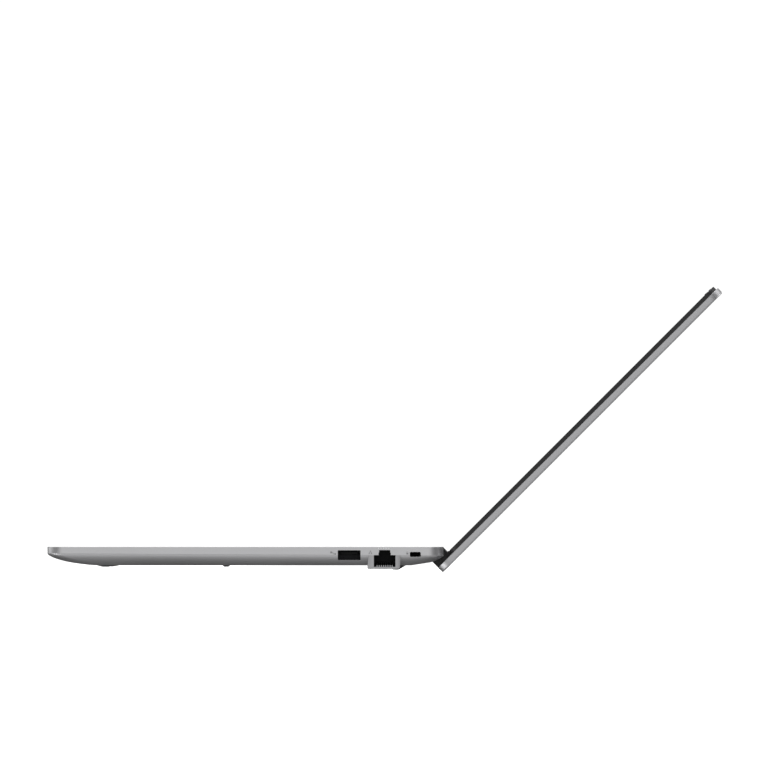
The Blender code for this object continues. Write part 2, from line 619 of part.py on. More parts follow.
def build_screen(frame):
    bezel = prism("screen_bezel", frame, rounded_box((-178.45, 178.45), (-226.3, -7.0), 7.5, 5),
                  (BEZEL_LOW, BEZEL_HIGH), look_bezel)
    cut(bezel,
        box("panel_pocket", frame, (-176.0, 176.0), (-222.5, -16.5), (5.1, 8.0)),
        box("screen_window", frame, (-172.4, 172.4), (-218.1, -24.4), (3.0, 8.0)),
        box("camera_pocket", frame, (-20.5, 20.5), (-225.4, -222.0), (5.1, 8.0)),
        box("shutter_slot", frame, (-2.6, 7.2), (-224.5, -222.5), (3.0, 8.0)),
        boxes("bumper_seats", frame, [(x, (-225.2, -222.8), (3.0, 5.1)) for x in both_sides((115.0, 125.0))]))
    box("display_panel", frame, (-175.5, 175.5), (-220.4, -17.0), (5.4, 8.0), look_screen)
    module = box("camera_module", frame, (-20.0, 20.0), (-225.0, -222.0), (5.4, 7.8), look_board)
    join(module, box("camera_body", frame, (-4.0, 4.0), (-225.0, -221.2), (5.4, 7.8)))
    box("camera_shutter", frame, (2.8, 6.8), (-224.1, -222.9), (4.3, 5.0), look_bezel)
    for side, x in zip(("right", "left"), both_sides((115.4, 124.6))):
        box(f"lid_bumper_{side}", frame, x, (-224.9, -223.1), (4.2, 4.8), look_rubber)


def build_hinge_cap(frame):
    """The dark trim that wraps the rail and turns with the lid."""
    hollow, low, high = 4.4, 0.3, 6.7
    lip = 1.75
    start = math.degrees(math.atan2(low, -math.sqrt(hollow**2 - low**2)))
    end = math.degrees(math.asin(lip / hollow))
    front, shoulder = -6.7, 4.5
    profile = [(front, high), (front, shoulder), (-5.9, shoulder), (-5.9, low),
               *arc((0, 0), hollow, start, end, 12), (LID_REAR, lip), (LID_REAR, high)]
    prism("hinge_cap", frame, profile, (-CAP_X, CAP_X), look_hinge, along="X")


# Whole laptop

def lowest_and_middle():
    """The lowest point and the middle in Y of every piece, in millimetres of the base frame."""
    bpy.context.view_layer.update()
    graph = bpy.context.evaluated_depsgraph_get()
    points = []
    for obj in parts.objects:
        if obj.type == "MESH":
            evaluated = obj.evaluated_get(graph)
            points += [evaluated.matrix_world @ vertex.co / MM for vertex in evaluated.data.vertices]
    ys = [point.y for point in points]
    return min(point.z for point in points), (min(ys) + max(ys)) / 2


clear_scene()
parts = add_collection("laptop")
helpers = add_collection("laptop_cutters")
helpers.hide_render = True

look_case = add_material("case_grey", (0.36, 0.36, 0.37), 0.42, 0.55)
look_keys = add_material("key_plastic", (0.10, 0.10, 0.11), 0.55)
look_bezel = add_material("bezel_black", (0.03, 0.03, 0.03), 0.5)
look_hinge = add_material("hinge_black", (0.02, 0.02, 0.02), 0.45)
look_rubber = add_material("foot_rubber", (0.05, 0.05, 0.05), 0.8)
look_socket = add_material("socket_black", (0.015, 0.015, 0.015), 0.5)
look_metal = add_material("socket_metal", (0.5, 0.5, 0.5), 0.3, 1.0)
look_steel = add_material("steel", (0.45, 0.45, 0.45), 0.35, 1.0)
look_copper = add_material("copper", (0.8, 0.42, 0.28), 0.35, 1.0)
look_board = add_material("board_green", (0.02, 0.1, 0.05), 0.6)
look_black = add_material("battery_black", (0.02, 0.02, 0.02), 0.6)
look_screen = add_material("screen_glass", (0.01, 0.01, 0.012), 0.2)

base_frame = add_empty("base", (0, 0, 0))
lid_frame = add_empty("lid", (0, AXIS_Y, AXIS_Z), base_frame)

shared_openings = wall_openings(base_frame)
build_bottom_cover(base_frame, shared_openings)
build_top_cover(base_frame, shared_openings)
build_feet(base_frame)
build_screws(base_frame)
for port_name, port_values in PORTS.items():
    build_socket(port_name, port_values, base_frame)
build_ethernet_socket(base_frame)
build_lock_plate(base_frame)
build_insides(base_frame)
build_keyboard(base_frame)
build_touchpad(base_frame)
build_rear_rail(base_frame)
for hinge_side, hinge_sign in (("right", 1), ("left", -1)):
    build_hinge(hinge_side, hinge_sign, base_frame, lid_frame)
build_lid_cover(lid_frame)
build_screen(lid_frame)
build_hinge_cap(lid_frame)

# The lid is modelled closed and turned open; the origin is under the middle of the whole laptop.
lid_frame.rotation_euler.x = -OPEN_ANGLE
lowest, middle_y = lowest_and_middle()
base_frame.location = Vector((0, -middle_y, -lowest)) * MM
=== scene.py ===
"""The looks of a 15.6 inch clamshell laptop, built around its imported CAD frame.

Shapes are worked out in millimetres in two spaces. The base space has X = 0 in the middle of the
width, Y = 0 at the front edge and Z = 0 at the flat underside. The lid space has the same directions
with the lid closed, measured from the hinge axis. BASE and LID turn both into the frame's metres.
"""

import json
from math import asin, atan, atan2, cos, degrees, pi, radians, sin, sqrt

import bmesh
import bpy
from mathutils import Matrix, Vector


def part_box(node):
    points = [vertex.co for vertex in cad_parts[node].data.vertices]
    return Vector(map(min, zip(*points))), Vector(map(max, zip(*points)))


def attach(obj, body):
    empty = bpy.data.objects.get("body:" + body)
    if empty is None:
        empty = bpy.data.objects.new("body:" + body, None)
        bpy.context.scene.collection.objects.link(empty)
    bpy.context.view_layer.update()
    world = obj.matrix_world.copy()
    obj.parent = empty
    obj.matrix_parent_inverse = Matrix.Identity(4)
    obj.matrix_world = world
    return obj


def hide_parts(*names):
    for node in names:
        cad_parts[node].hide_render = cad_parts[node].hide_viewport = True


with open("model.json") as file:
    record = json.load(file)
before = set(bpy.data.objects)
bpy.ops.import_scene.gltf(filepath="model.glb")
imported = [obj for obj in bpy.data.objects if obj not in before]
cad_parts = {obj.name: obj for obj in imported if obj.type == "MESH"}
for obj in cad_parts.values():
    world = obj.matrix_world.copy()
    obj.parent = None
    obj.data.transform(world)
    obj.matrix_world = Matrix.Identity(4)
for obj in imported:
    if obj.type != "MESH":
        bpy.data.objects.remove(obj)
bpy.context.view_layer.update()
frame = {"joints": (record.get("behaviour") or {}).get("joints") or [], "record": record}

MM = 0.001
SHARP_ANGLE = radians(32)  # edges steeper than this stay sharp
SIDES = ("right", "left")

# Base, as in the CAD apart from the crease between the covers, which is 0.2 lower
DECK_Z = 10.9
WALL = 1.2
BASE_DEPTH = 232.5
CORNER_R = 9
SEAM_FRONT_Z, SEAM_REAR_Z = 7, 5.8  # the crease
CURVE_FRONT, CURVE_SIDE, CURVE_REAR = 29.5, 14, 8  # how far the underside's curve reaches in
CURVE_POWER = 1.25
CURVE_ANGLES = (0, 3, 6, 10, 14, 18, 23, 28, 34, 40, 47, 54, 61, 68, 75, 82, 87, 90)
UNDER_CORNER_R = 16
KINK_Y, KINK_SLOPE = 213.5, 0.155  # behind the kink the underside rises
NOTCH_X, NOTCH_Y, NOTCH_R = 143.8, 221.2, 1  # the hinge slot in the rear edge
PARTING = 0.03  # half the visible gap between the covers
DECK_EDGE = 0.25  # radius of the deck's rounded rim

# Underside
SCREWS = [(x, y) for y in (44, 97) for x in (-150, 150)] + [(-40, 213.4), (40, 213.4)]
FEET = {  # right-hand X, Y, the strip that it stands on, Z of its glued edge and of the strip
    "front": ((105, 135), (28.6, 39.4), (32.2, 34.8), -0.1, -0.79),
    "rear": ((50, 155), (198.8, 209.8), (203, 206), -0.2, -2.6),
}
STUD_Y = 103.5
SEAT_GAP, SEAT_Z, SEAT_R = 0.2, (-1, 0.5), 5
UNDER_CUT_Z = (-1, 2.5)  # slots that pass through the underside

# Ports: side, middle in Y, width, low Z, high Z, corner radius, and the contact tongue's low and high Z
USB_A, USB_C = (13.35, 3.15, 8.9, 0.4, (6.4, 8)), (9, 4.9, 8.1, 1.55, (6.1, 6.9))
PORTS = {
    "usb_socket_right": (1, 177.15, *USB_A),
    "video_socket": (-1, 190, 14.4, 4, 8.8, 0.8, (5.9, 7.3)),
    "usb_socket_left": (-1, 166, *USB_A),
    "usb_c_socket_rear": (-1, 146, *USB_C),
    "usb_c_socket_front": (-1, 130, *USB_C),
    "audio_socket": (-1, 113, 4.6, 4.2, 8.8, 2.25, None),
}
SOCKET_BACK, SOCKET_FRONT = 165.8, 175.2
PORT_CUT, JACK_CUT = (170, 184), (168, 184)  # from inside the side wall to outside it
JACK_Y, JACK_PITCH = 198, 1.27
BULGE_Y, BULGE_LOW, BULGE_TOP = (188.3, 207.5), -2.15, 5.75
BULGE_DRAFT, BULGE_LEAN, BULGE_FRONT_R, BULGE_REAR_R = 0.12, 0.45, 0.6, 1.4
LOCK_Y, LOCK_Z = (212.8, 219.2), (5, 7.9)

# Signs printed on the right-hand wall: middle in Y and Z, and rectangles as (low Y, high Y, low Z, high Z)
PORT_SIGNS = {
    "plug": (167.7, 7.45, ((-1.6, -0.6, -0.35, 0.75), (-0.6, 0.1, -0.05, 0.2), (-0.15, 0.1, -0.85, 0.2),
                           (0.1, 0.9, -0.85, -0.6), (0.9, 1.7, -1.1, -0.35))),
    "linked boxes": (189.6, 7.7, ((-0.3, 0.3, 0.35, 0.95), (-0.95, -0.35, -0.95, -0.35),
                                  (0.35, 0.95, -0.95, -0.35), (-0.7, 0.7, -0.08, 0.08), (-0.08, 0.08, 0, 0.4),
                                  (-0.72, -0.56, -0.4, 0.08), (0.56, 0.72, -0.4, 0.08))),
    "padlock": (211.3, 7.2, ((-0.6, 0.6, -0.8, 0.1), (-0.45, -0.28, 0.1, 0.7), (0.28, 0.45, 0.1, 0.7),
                             (-0.45, 0.45, 0.6, 0.78))),
}

# Keyboard, power button and touchpad
KEYBOARD_X, KEYBOARD_Y = (-164, 164), (103.5, 206.5)
PAD_X, PAD_Y, PAD_GAP = (-98, 26), (10, 86), 0.45
KEY_PITCH, KEY_GAP, PAD_PITCH = 18.2, 2.6, 16
FIELD_X = 163
ROW_FRONT = 105.6
FUNCTION_DEPTH = 8.4
CAP_LOW, CAP_HIGH, CAP_R = 8, 10.7, 1.7
ROWS = {  # row number from the front, and each key's width in pitches with its legend
    "bottom_left_keys": (0, [(1.2, "ctrl"), (1, "fn"), (1, "sys"), (1, "alt")]),
    "space_bar": (0, [(5.2, "")]),
    "bottom_right_keys": (0, [(1, "alt"), (1, "ctrl"), (1, "<"), (1, "^ v"), (1, ">")]),
    "lower_letter_row": (1, [(2.2, "shift"), *[(1, c) for c in "ZXCVBNM,./"], (2.2, "shift")]),
    "home_row": (2, [(1.7, "caps lock"), *[(1, c) for c in "ASDFGHJKL;'"], (1.7, "enter")]),
    "top_letter_row": (3, [(1.4, "tab"), *[(1, c) for c in "QWERTYUIOP[]\\"]]),
    "number_row": (4, [*[(1, c) for c in "`1234567890-="], (1.4, "delete")]),
}
PAD_LEGENDS = (("0", "00", ".", "="), ("1", "2", "3", "enter"), ("4", "5", "6", "%"), ("7", "8", "9", "+"),
               ("num", "/", "*", "-"))
FUNCTION_LEGENDS = ("esc", *[f"f{i}" for i in range(1, 13)], "print", "del", "home", "end", "pg up", "pg dn")
FUNCTION_KEYS = len(FUNCTION_LEGENDS)

# Hinges
OPEN_ANGLE = radians(135)
AXIS_Y, AXIS_Z = 227.7, 6.9
BARREL_R, PIN_R, BORE_R, HUB_R = 3.7, 1.9, 2.2, 3.5
KNUCKLE, ARM_HUB = (121.4, 139.4), (139.9, 143.1)
LEAF_Z = (AXIS_Z - 1.35, AXIS_Z - 0.05)
CAP_X = 139.5

# Insides
FAN_X, FAN_Y, FAN_Z = 102.5, 162.5, (1.7, 5.2)
FAN_SHEET, FAN_BLADES = 0.5, 29
BATTERY_X, BATTERY_Y = (-105, 105), (32, 96)
BOARD_X, BOARD_Y, BOARD_Z = (-163, 62), (108, 205), (3.5, 4.5)
UNDER_BOARD, OVER_BOARD = 3.55, 4.45  # where chips sink into the board's faces
SMALL_CARDS = {  # CAD node, X, Y, chips as (left, front, width, depth) from the corner, end with the pads
    "ssd": ("ssd", (-20, 60), (112, 134), ((8, 3, 15, 16), (27, 3, 15, 16), (50, 5, 12, 12)), "rear"),
    "memory": ("memory_module", (-110, -42), (115, 145),
               [(4 + 15.5 * i, front, 12, 9) for front in (8, 19) for i in range(4)], "front"),
    "radio": ("wireless_card", (-155, -125), (120, 142),
              ((3, 4, 17, 14), (23, 5, 4, 4), (23, 12, 4, 4)), "front"),
}

# Lid, as in the CAD
LID_FRONT, LID_REAR = -227.6, 4.7
LID_CORNER_R = 8.5
COVER_LOW, COVER_HIGH = 7, 11
BEZEL_LOW, BEZEL_X = 4.5, 178.45
WINDOW_X, WINDOW_Y = (-172.4, 172.4), (-218.1, -24.4)
CAMERA_Y, LENS_X, LAMP_X = -223.5, 0.4, -6.2

# Camera and studio
VIEW_WIDTH = 0.4518  # metres across the picture
VIEW_CENTRE, VIEW_EYE = (198.2, 105.85), (237.8, 11)  # Y and Z in the base space
LENS, SENSOR = 1200, 36
ROOM_LEVEL, BACKDROP_LEVEL = 1.3, 1.05
FLOOR_SIZE, FLOOR_GAP, FLOOR_GLOW = 60, 0.0002, 0.62
# The room's light as (component of the direction, level) stops: by X above and below the horizon, and by Y.
# HORIZON is the share of the upper levels by Z.
ABOVE = ((-1, 0.12), (-0.75, 0.24), (-0.34, 0.85), (0.1, 0.45), (0.5, 0.06), (0.8, 0.15), (0.93, 0.8),
         (1, 1.1))
BELOW = ((-1, 0), (-0.6, 0.06), (0, 0.32), (0.55, 0.6), (0.8, 0.62), (0.97, 0.66))
HORIZON = ((-1, 0), (-0.36, 0), (-0.04, 1), (1, 1))
FRONT_TO_REAR = ((-1, 1), (0.3, 1), (0.75, 0.5), (1, 0.35))
# Soft round patches of light: direction, cosine of the edge, level
LIGHT_CARDS = (((0.22, -0.69, -0.69), 0.88, 2.2), ((-0.1, 0.7, 0.7), 0.9, 1.6),
               ((-0.15, 0.72, -0.68), 0.84, 0.5))

# Frames of reference
low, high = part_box("top_cover")
SIDE_X = high.x / MM
BASE = Matrix.Translation((0, low.y, high.z - DECK_Z * MM)) @ Matrix.Scale(MM, 4)
hinge = next(joint for joint in frame["joints"] if joint["name"] == "lid_hinge")
LID = Matrix.Translation(hinge["pos_m"]) @ Matrix.Rotation(-OPEN_ANGLE, 4, "X") @ Matrix.Scale(MM, 4)


# Camera, lights and stage

def add_object(name, data):
    obj = bpy.data.objects.new(name, data)
    bpy.context.scene.collection.objects.link(obj)
    return obj


def aim(obj, target):
    """Turns an object's -Z axis towards a point."""
    obj.rotation_euler = (Vector(target) - obj.location).to_track_quat("-Z", "Y").to_euler()


def add_camera():
    """A long lens square on to the right-hand side, level with the deck."""
    data = bpy.data.cameras.new("camera")
    data.lens = LENS
    data.sensor_width = SENSOR
    data.clip_end = 100
    camera = add_object("camera", data)
    eye = BASE @ Vector((SIDE_X, *VIEW_EYE))
    camera.location = (eye.x + VIEW_WIDTH * LENS / SENSOR, eye.y, eye.z)
    aim(camera, BASE @ Vector((SIDE_X, *VIEW_CENTRE)))
    bpy.context.scene.camera = camera


def add_light(name, location, target, size, power):
    data = bpy.data.lights.new(name, "AREA")
    data.shape = "RECTANGLE"
    data.size, data.size_y = size
    data.energy = power
    light = add_object(name, data)
    light.location = location
    aim(light, target)


def add_lights():
    """Soft boxes above, on both sides, in front and low behind."""
    add_light("overhead", (-0.3, 0.1, 2.2), (0, 0, 0), (2, 2), 22)
    add_light("right_side", (1.5, -0.05, 1.5), (0.18, -0.05, 0), (1.6, 1.2), 9)
    add_light("left_side", (-1.8, -0.5, 1.2), (-0.18, 0, 0), (1.6, 1.2), 9)
    add_light("front_strip", (-0.75, -2.1, 0.3), (0, 0, 0), (1.2, 0.5), 1.6)
    add_light("rear_low", (-0.6, 2.2, 0.3), (0, 0.1, 0.08), (1.6, 0.6), 16)


def set_sockets(tree, node, sockets):
    """Gives each socket its value, or links another node's output to it."""
    for socket, value in sockets.items():
        if isinstance(value, bpy.types.NodeSocket):
            tree.links.new(value, node.inputs[socket])
        else:
            node.inputs[socket].default_value = value


def add_node(tree, kind, sockets=None):
    node = tree.nodes.new("ShaderNode" + kind)
    set_sockets(tree, node, sockets or {})
    return node


def add_ramp(tree, component, stops):
    """A grey level by one component of the direction, from (component, level) stops."""
    share = add_node(tree, "MapRange", {"Value": component, "From Min": -1})
    ramp = add_node(tree, "ValToRGB", {"Fac": share.outputs["Result"]})
    elements = ramp.color_ramp.elements
    while len(elements) < len(stops):
        elements.new(0.5)
    for element, (at, level) in zip(elements, stops):
        element.position = (at + 1) / 2
        element.color = (level, level, level, 1)
    return ramp.outputs["Color"]


def blend(tree, kind, factor, one, two):
    """Two colours mixed, multiplied or added."""
    node = tree.nodes.new("ShaderNodeMix")
    node.data_type = "RGBA"
    node.blend_type = kind
    set_sockets(tree, node, {0: factor, 6: one, 7: two})
    return node.outputs[2]


def add_card(tree, where, towards, edge, level):
    """A soft round patch of light, from the cosine of its edge to full at its middle."""
    facing = add_node(tree, "VectorMath", {0: where, 1: Vector(towards).normalized()})
    facing.operation = "DOT_PRODUCT"
    patch = add_node(tree, "MapRange", {"Value": facing.outputs["Value"], "From Min": edge, "To Max": level})
    patch.interpolation_type = "SMOOTHSTEP"
    return patch.outputs["Result"]


def add_world():
    """White to the camera. As light, a studio with a bright wall to the right and soft patches."""
    world = bpy.data.worlds.new("studio")
    world.use_nodes = True
    tree = world.node_tree
    tree.nodes.clear()
    where = add_node(tree, "TexCoord").outputs["Generated"]
    part = add_node(tree, "SeparateXYZ", {0: where}).outputs
    above, below = add_ramp(tree, part["X"], ABOVE), add_ramp(tree, part["X"], BELOW)
    light = blend(tree, "MIX", add_ramp(tree, part["Z"], HORIZON), below, above)
    light = blend(tree, "MULTIPLY", 1, light, add_ramp(tree, part["Y"], FRONT_TO_REAR))
    for towards, edge, level in LIGHT_CARDS:
        light = blend(tree, "ADD", 1, light, add_card(tree, where, towards, edge, level))
    room = add_node(tree, "Background", {"Color": light, "Strength": ROOM_LEVEL})
    backdrop = add_node(tree, "Background", {"Color": (1, 1, 1, 1), "Strength": BACKDROP_LEVEL})
    ray = add_node(tree, "LightPath").outputs["Is Camera Ray"]
    mix = add_node(tree, "MixShader", {0: ray, 1: room.outputs[0], 2: backdrop.outputs[0]})
    add_node(tree, "OutputWorld", {0: mix.outputs[0]})
    bpy.context.scene.world = world


def add_floor():
    """A white floor through the front feet and the lid's lower edge, which the laptop stands on."""
    _, foot_y, foot_z = frame["record"]["mounts"][0]["pos_m"]
    edge_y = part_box("lid_cover")[0].y
    slope = foot_z / (foot_y - edge_y)
    bpy.ops.mesh.primitive_plane_add(size=FLOOR_SIZE)
    floor = bpy.context.object
    floor.name = "floor"
    floor.location = (0, 0, -slope * edge_y - FLOOR_GAP)
    floor.rotation_euler.x = atan(slope)
    floor.visible_diffuse = False
    floor.visible_glossy = False
    made = bpy.data.materials.new("floor_white")
    made.use_nodes = True
    set_sockets(made.node_tree, made.node_tree.nodes["Principled BSDF"], {
        "Base Color": (0.9, 0.9, 0.9, 1), "Roughness": 0.8, "Specular IOR Level": 0,
        "Emission Color": (1, 1, 1, 1), "Emission Strength": FLOOR_GLOW})
    floor.data.materials.append(made)


# Materials

def surface(name, colour, roughness, metallic, spread, scale, bump, specular=0.5, coat=0, stretch=(1, 1, 1)):
    """A finish with fine procedural grain: small shifts of tone and roughness, and a shallow bump."""
    made = bpy.data.materials.new(name)
    made.use_nodes = True
    tree = made.node_tree
    where = add_node(tree, "TexCoord").outputs["Object"]
    shape = add_node(tree, "Mapping", {"Vector": where, "Scale": stretch}).outputs["Vector"]
    grain = add_node(tree, "TexNoise", {"Vector": shape, "Scale": scale, "Detail": 3}).outputs["Fac"]
    cloud = add_node(tree, "TexNoise", {"Vector": shape, "Scale": 22}).outputs["Fac"]
    both = add_node(tree, "Mix", {"Factor": 0.35, "A": grain, "B": cloud})
    tone = add_node(tree, "ValToRGB", {"Fac": both.outputs["Result"]})
    for element, position, shift in zip(tone.color_ramp.elements, (0.3, 0.7), (-spread, spread)):
        element.position = position
        element.color = (*[min(1, c * (1 + shift)) for c in colour], 1)
    gloss = add_node(tree, "MapRange", {"Value": cloud, "To Min": max(0.02, roughness - 0.05),
                                        "To Max": roughness + 0.05})
    sockets = {"Metallic": metallic, "Specular IOR Level": specular, "Coat Weight": coat,
               "Base Color": tone.outputs["Color"], "Roughness": gloss.outputs["Result"]}
    if bump:
        relief = add_node(tree, "Bump", {"Strength": bump, "Distance": 0.0002, "Height": grain})
        sockets["Normal"] = relief.outputs["Normal"]
    set_sockets(tree, tree.nodes["Principled BSDF"], sockets)
    return made


# Record's slot, then colour, roughness, metallic and the rest of what surface() takes
FINISHES = {
    "case": ("case_grey", (0.5, 0.5, 0.51), 0.4, 0.65, 0.03, 2600, 0.05),
    "lid": ("case_grey", (0.41, 0.41, 0.42), 0.4, 0.65, 0.03, 2600, 0.05),
    "insert": ("case_grey", (0.405, 0.405, 0.415), 0.4, 0.65, 0.03, 2600, 0.05),
    "pad": ("case_grey", (0.45, 0.45, 0.46), 0.42, 0.5, 0.02, 3200, 0.02),
    "key": ("key_plastic", (0.06, 0.062, 0.068), 0.55, 0, 0.08, 1800, 0.1, 0.4),
    "frame": ("case_grey", (0.4, 0.4, 0.41), 0.42, 0.75, 0.03, 2600, 0.05),
    "legend": ("key_plastic", (0.62, 0.63, 0.64), 0.6, 0, 0.02, 900, 0),
    "ink": ("key_plastic", (0.25, 0.25, 0.255), 0.7, 0, 0.02, 900, 0),
    "pale_ink": ("case_grey", (0.95, 0.95, 0.95), 0.6, 0, 0.02, 900, 0),
    "bezel": ("bezel_black", (0.016, 0.016, 0.017), 0.5, 0, 0.12, 1500, 0.16, 0.35),
    "hinge": ("hinge_black", (0.014, 0.014, 0.0145), 0.42, 0, 0.1, 1400, 0.08, 0.4),
    "rubber": ("foot_rubber", (0.03, 0.03, 0.031), 0.8, 0, 0.15, 1200, 0.22, 0.25),
    "plastic": ("socket_black", (0.008, 0.008, 0.009), 0.55, 0, 0.1, 1400, 0.05, 0.12),
    # The socket shells' near-black colour is painted shade: nickel metal darkened to look as it does deep in
    # its recess
    "shell": ("socket_metal", (0.022, 0.022, 0.024), 0.48, 1, 0.05, 900, 0.03),
    "contact": ("socket_metal", (0.72, 0.72, 0.73), 0.3, 1, 0.05, 900, 0.03),
    "slider": ("bezel_black", (0.022, 0.022, 0.023), 0.45, 0, 0.1, 1500, 0.1, 0.4),
    "gold": ("copper", (0.8, 0.62, 0.32), 0.3, 1, 0.05, 900, 0),
    "steel": ("steel", (0.3, 0.3, 0.31), 0.36, 1, 0.08, 500, 0.05, 0.5, 0, (1, 9, 9)),
    "copper": ("copper", (0.72, 0.4, 0.25), 0.34, 1, 0.06, 500, 0.04),
    "board": ("board", (0.012, 0.075, 0.04), 0.45, 0, 0.25, 700, 0.1),
    "screen": ("screen_panel", (0.006, 0.006, 0.007), 0.3, 0, 0.05, 4000, 0.02),
    "glass": ("screen_panel", (0.004, 0.005, 0.01), 0.06, 0, 0.05, 900, 0, 0.8, 0.5),
    "lamp": ("key_plastic", (0.75, 0.78, 0.8), 0.35, 0, 0.02, 900, 0),
}
LOOKS = {look: (slot, surface(look, *finish)) for look, (slot, *finish) in FINISHES.items()}


# Spans and outlines

def around(middle, width):
    return middle - width / 2, middle + width / 2


def grown(span, margin):
    return span[0] - margin, span[1] + margin


def mirrored(span):
    """A span on the right-hand side and the same span on the left."""
    return span, (-span[1], -span[0])


def on_side(side, inner, outer):
    """A span in X from the distances to the middle plane, on the right (1) or the left (-1)."""
    return sorted((side * inner, side * outer))


def evenly(first, pitch, width, count):
    """Equal spans at an even pitch."""
    return [(first + pitch * i, first + pitch * i + width) for i in range(count)]


def arc(centre, radius, start, end, steps):
    """Points of an arc between two angles in degrees."""
    angles = [radians(start + (end - start) * i / steps) for i in range(steps + 1)]
    return [(centre[0] + radius * cos(a), centre[1] + radius * sin(a)) for a in angles]


def rounded(u, v, radius, steps=5):
    """A rectangle's outline, counter-clockwise, with round corners where a radius is given."""
    if not radius:
        return [(u[0], v[0]), (u[1], v[0]), (u[1], v[1]), (u[0], v[1])]
    radius = min(radius, (u[1] - u[0]) / 2.01, (v[1] - v[0]) / 2.01)
    corners = [((u[1] - radius, v[0] + radius), -90), ((u[1] - radius, v[1] - radius), 0),
               ((u[0] + radius, v[1] - radius), 90), ((u[0] + radius, v[0] + radius), 180)]
    return [point for centre, start in corners for point in arc(centre, radius, start, start + 90, steps)]


def chamfered(radius, low, high, edge):
    """The profile of a turned bar with broken edges."""
    return [(radius - edge, low), (radius, low + edge), (radius, high - edge), (radius - edge, high)]


# Mesh helpers

# A point from its place across an axis and its place along it
PLACES = {"X": lambda u, v, w: (w, u, v), "Y": lambda u, v, w: (u, w, v), "Z": lambda u, v, w: (u, v, w)}


def skin(rings, bm=None, start=True, end=True):
    """Skins rings of equally many points, with or without faces on the first and last."""
    bm = bm or bmesh.new()
    levels = [[bm.verts.new(point) for point in ring] for ring in rings]
    for one, two in zip(levels, levels[1:]):
        for i in range(len(one)):
            j = (i + 1) % len(one)
            bm.faces.new((one[i], one[j], two[j], two[i]))
    if start:
        bm.faces.new(levels[0])
    if end:
        bm.faces.new(levels[-1])
    return bm


def prism(outline, span, along="Z", bm=None):
    """A flat outline with thickness along an axis. Its points give the other two axes, in order."""
    return skin([[PLACES[along](u, v, w) for u, v in outline] for w in span], bm)


def block(x, y, z, radius=0, bm=None, steps=3):
    """A box, with its upright edges rounded where a radius is given."""
    return prism(rounded(x, y, radius, steps), z, "Z", bm)


def pillow(x, y, levels, radius, bm=None, steps=5):
    """A rounded plate from (inset, z) levels, bottom to top."""
    rings = []
    for inset, z in levels:
        outline = rounded(grown(x, -inset), grown(y, -inset), max(radius - inset, 0.15), steps)
        rings.append([(u, v, z) for u, v in outline])
    return skin(rings, bm)


def turned(centre, profile, sides=48, axis="Z", bm=None):
    """A solid turned from (radius, height) points, bottom to top, about Z or X."""
    rings = []
    for radius, height in profile:
        angles = [2 * pi * i / sides for i in range(sides)]
        points = [PLACES[axis](radius * cos(a), radius * sin(a), height) for a in angles]
        rings.append([[c + p for c, p in zip(centre, point)] for point in points])
    return skin(rings, bm)


def closed_mesh(bm, name="shape"):
    """The shape as a mesh with its faces turned outwards."""
    bmesh.ops.recalc_face_normals(bm, faces=bm.faces)
    mesh = bpy.data.meshes.new(name)
    bm.to_mesh(mesh)
    bm.free()
    return mesh


def combine(bm, joined=(), removed=(), wall=0):
    """The shape with others joined to it and cut out of it. A wall makes a shell of an open surface."""
    obj = add_object("scratch", closed_mesh(bm))
    if wall:
        shell = obj.modifiers.new("wall", "SOLIDIFY")
        shell.thickness = wall
        shell.offset = -1
        shell.use_even_offset = True
    used = [obj]
    for operation, shapes in (("UNION", joined), ("DIFFERENCE", removed)):
        for shape in shapes:
            used.append(add_object("scratch", closed_mesh(shape)))
            modifier = obj.modifiers.new("boolean", "BOOLEAN")
            modifier.operation = operation
            modifier.object = used[-1]
            modifier.solver = "MANIFOLD"
    graph = bpy.context.evaluated_depsgraph_get()
    result = bmesh.new()
    result.from_mesh(bpy.data.meshes.new_from_object(obj.evaluated_get(graph)))
    for one in used:
        bpy.data.objects.remove(one)
    bmesh.ops.remove_doubles(result, verts=result.verts, dist=0.0005)
    return result


def cut(bm, *removed):
    return combine(bm, removed=removed)


def add_piece(name, bm, look, *replaced, body="base", space=BASE):
    """Adds a finished piece that rides on a body, standing for the CAD nodes that it replaces."""
    mesh = closed_mesh(bm, name)
    mesh.transform(space)
    mesh.shade_smooth()
    mesh.set_sharp_from_angle(angle=SHARP_ANGLE)
    slot, finish = LOOKS[look]
    mesh.materials.append(finish)
    obj = add_object(name, mesh)
    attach(obj, body)
    if replaced:
        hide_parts(*replaced)


def add_lid_piece(name, bm, look, *replaced, body="lid"):
    add_piece(name, bm, look, *replaced, body=body, space=LID)


# Base covers

def seam_z(y):
    """Height of the crease between the covers."""
    return SEAM_FRONT_Z + (SEAM_REAR_Z - SEAM_FRONT_Z) * y / BASE_DEPTH


def base_ring(front, side, rear, radius, height, notch=0):
    """One level of the base's outline, with the hinge slot in its rear edge."""
    x, y = SIDE_X - side, BASE_DEPTH - rear
    rear_r, slot_x, slot_y = CORNER_R - min(rear, DECK_EDGE), NOTCH_X + notch, NOTCH_Y - notch
    right = arc((x - radius, front + radius), radius, -90, 0, 14)
    right += [(x, KINK_Y)]
    right += arc((x - rear_r, y - rear_r), rear_r, 0, 90, 12)
    right += arc((slot_x + NOTCH_R, y - NOTCH_R), NOTCH_R, 90, 180, 4)
    right += arc((slot_x - NOTCH_R, slot_y + NOTCH_R), NOTCH_R, 0, -90, 4)
    outline = right + [(-u, v) for u, v in reversed(right)]
    return [(u, v, height(v)) for u, v in outline]


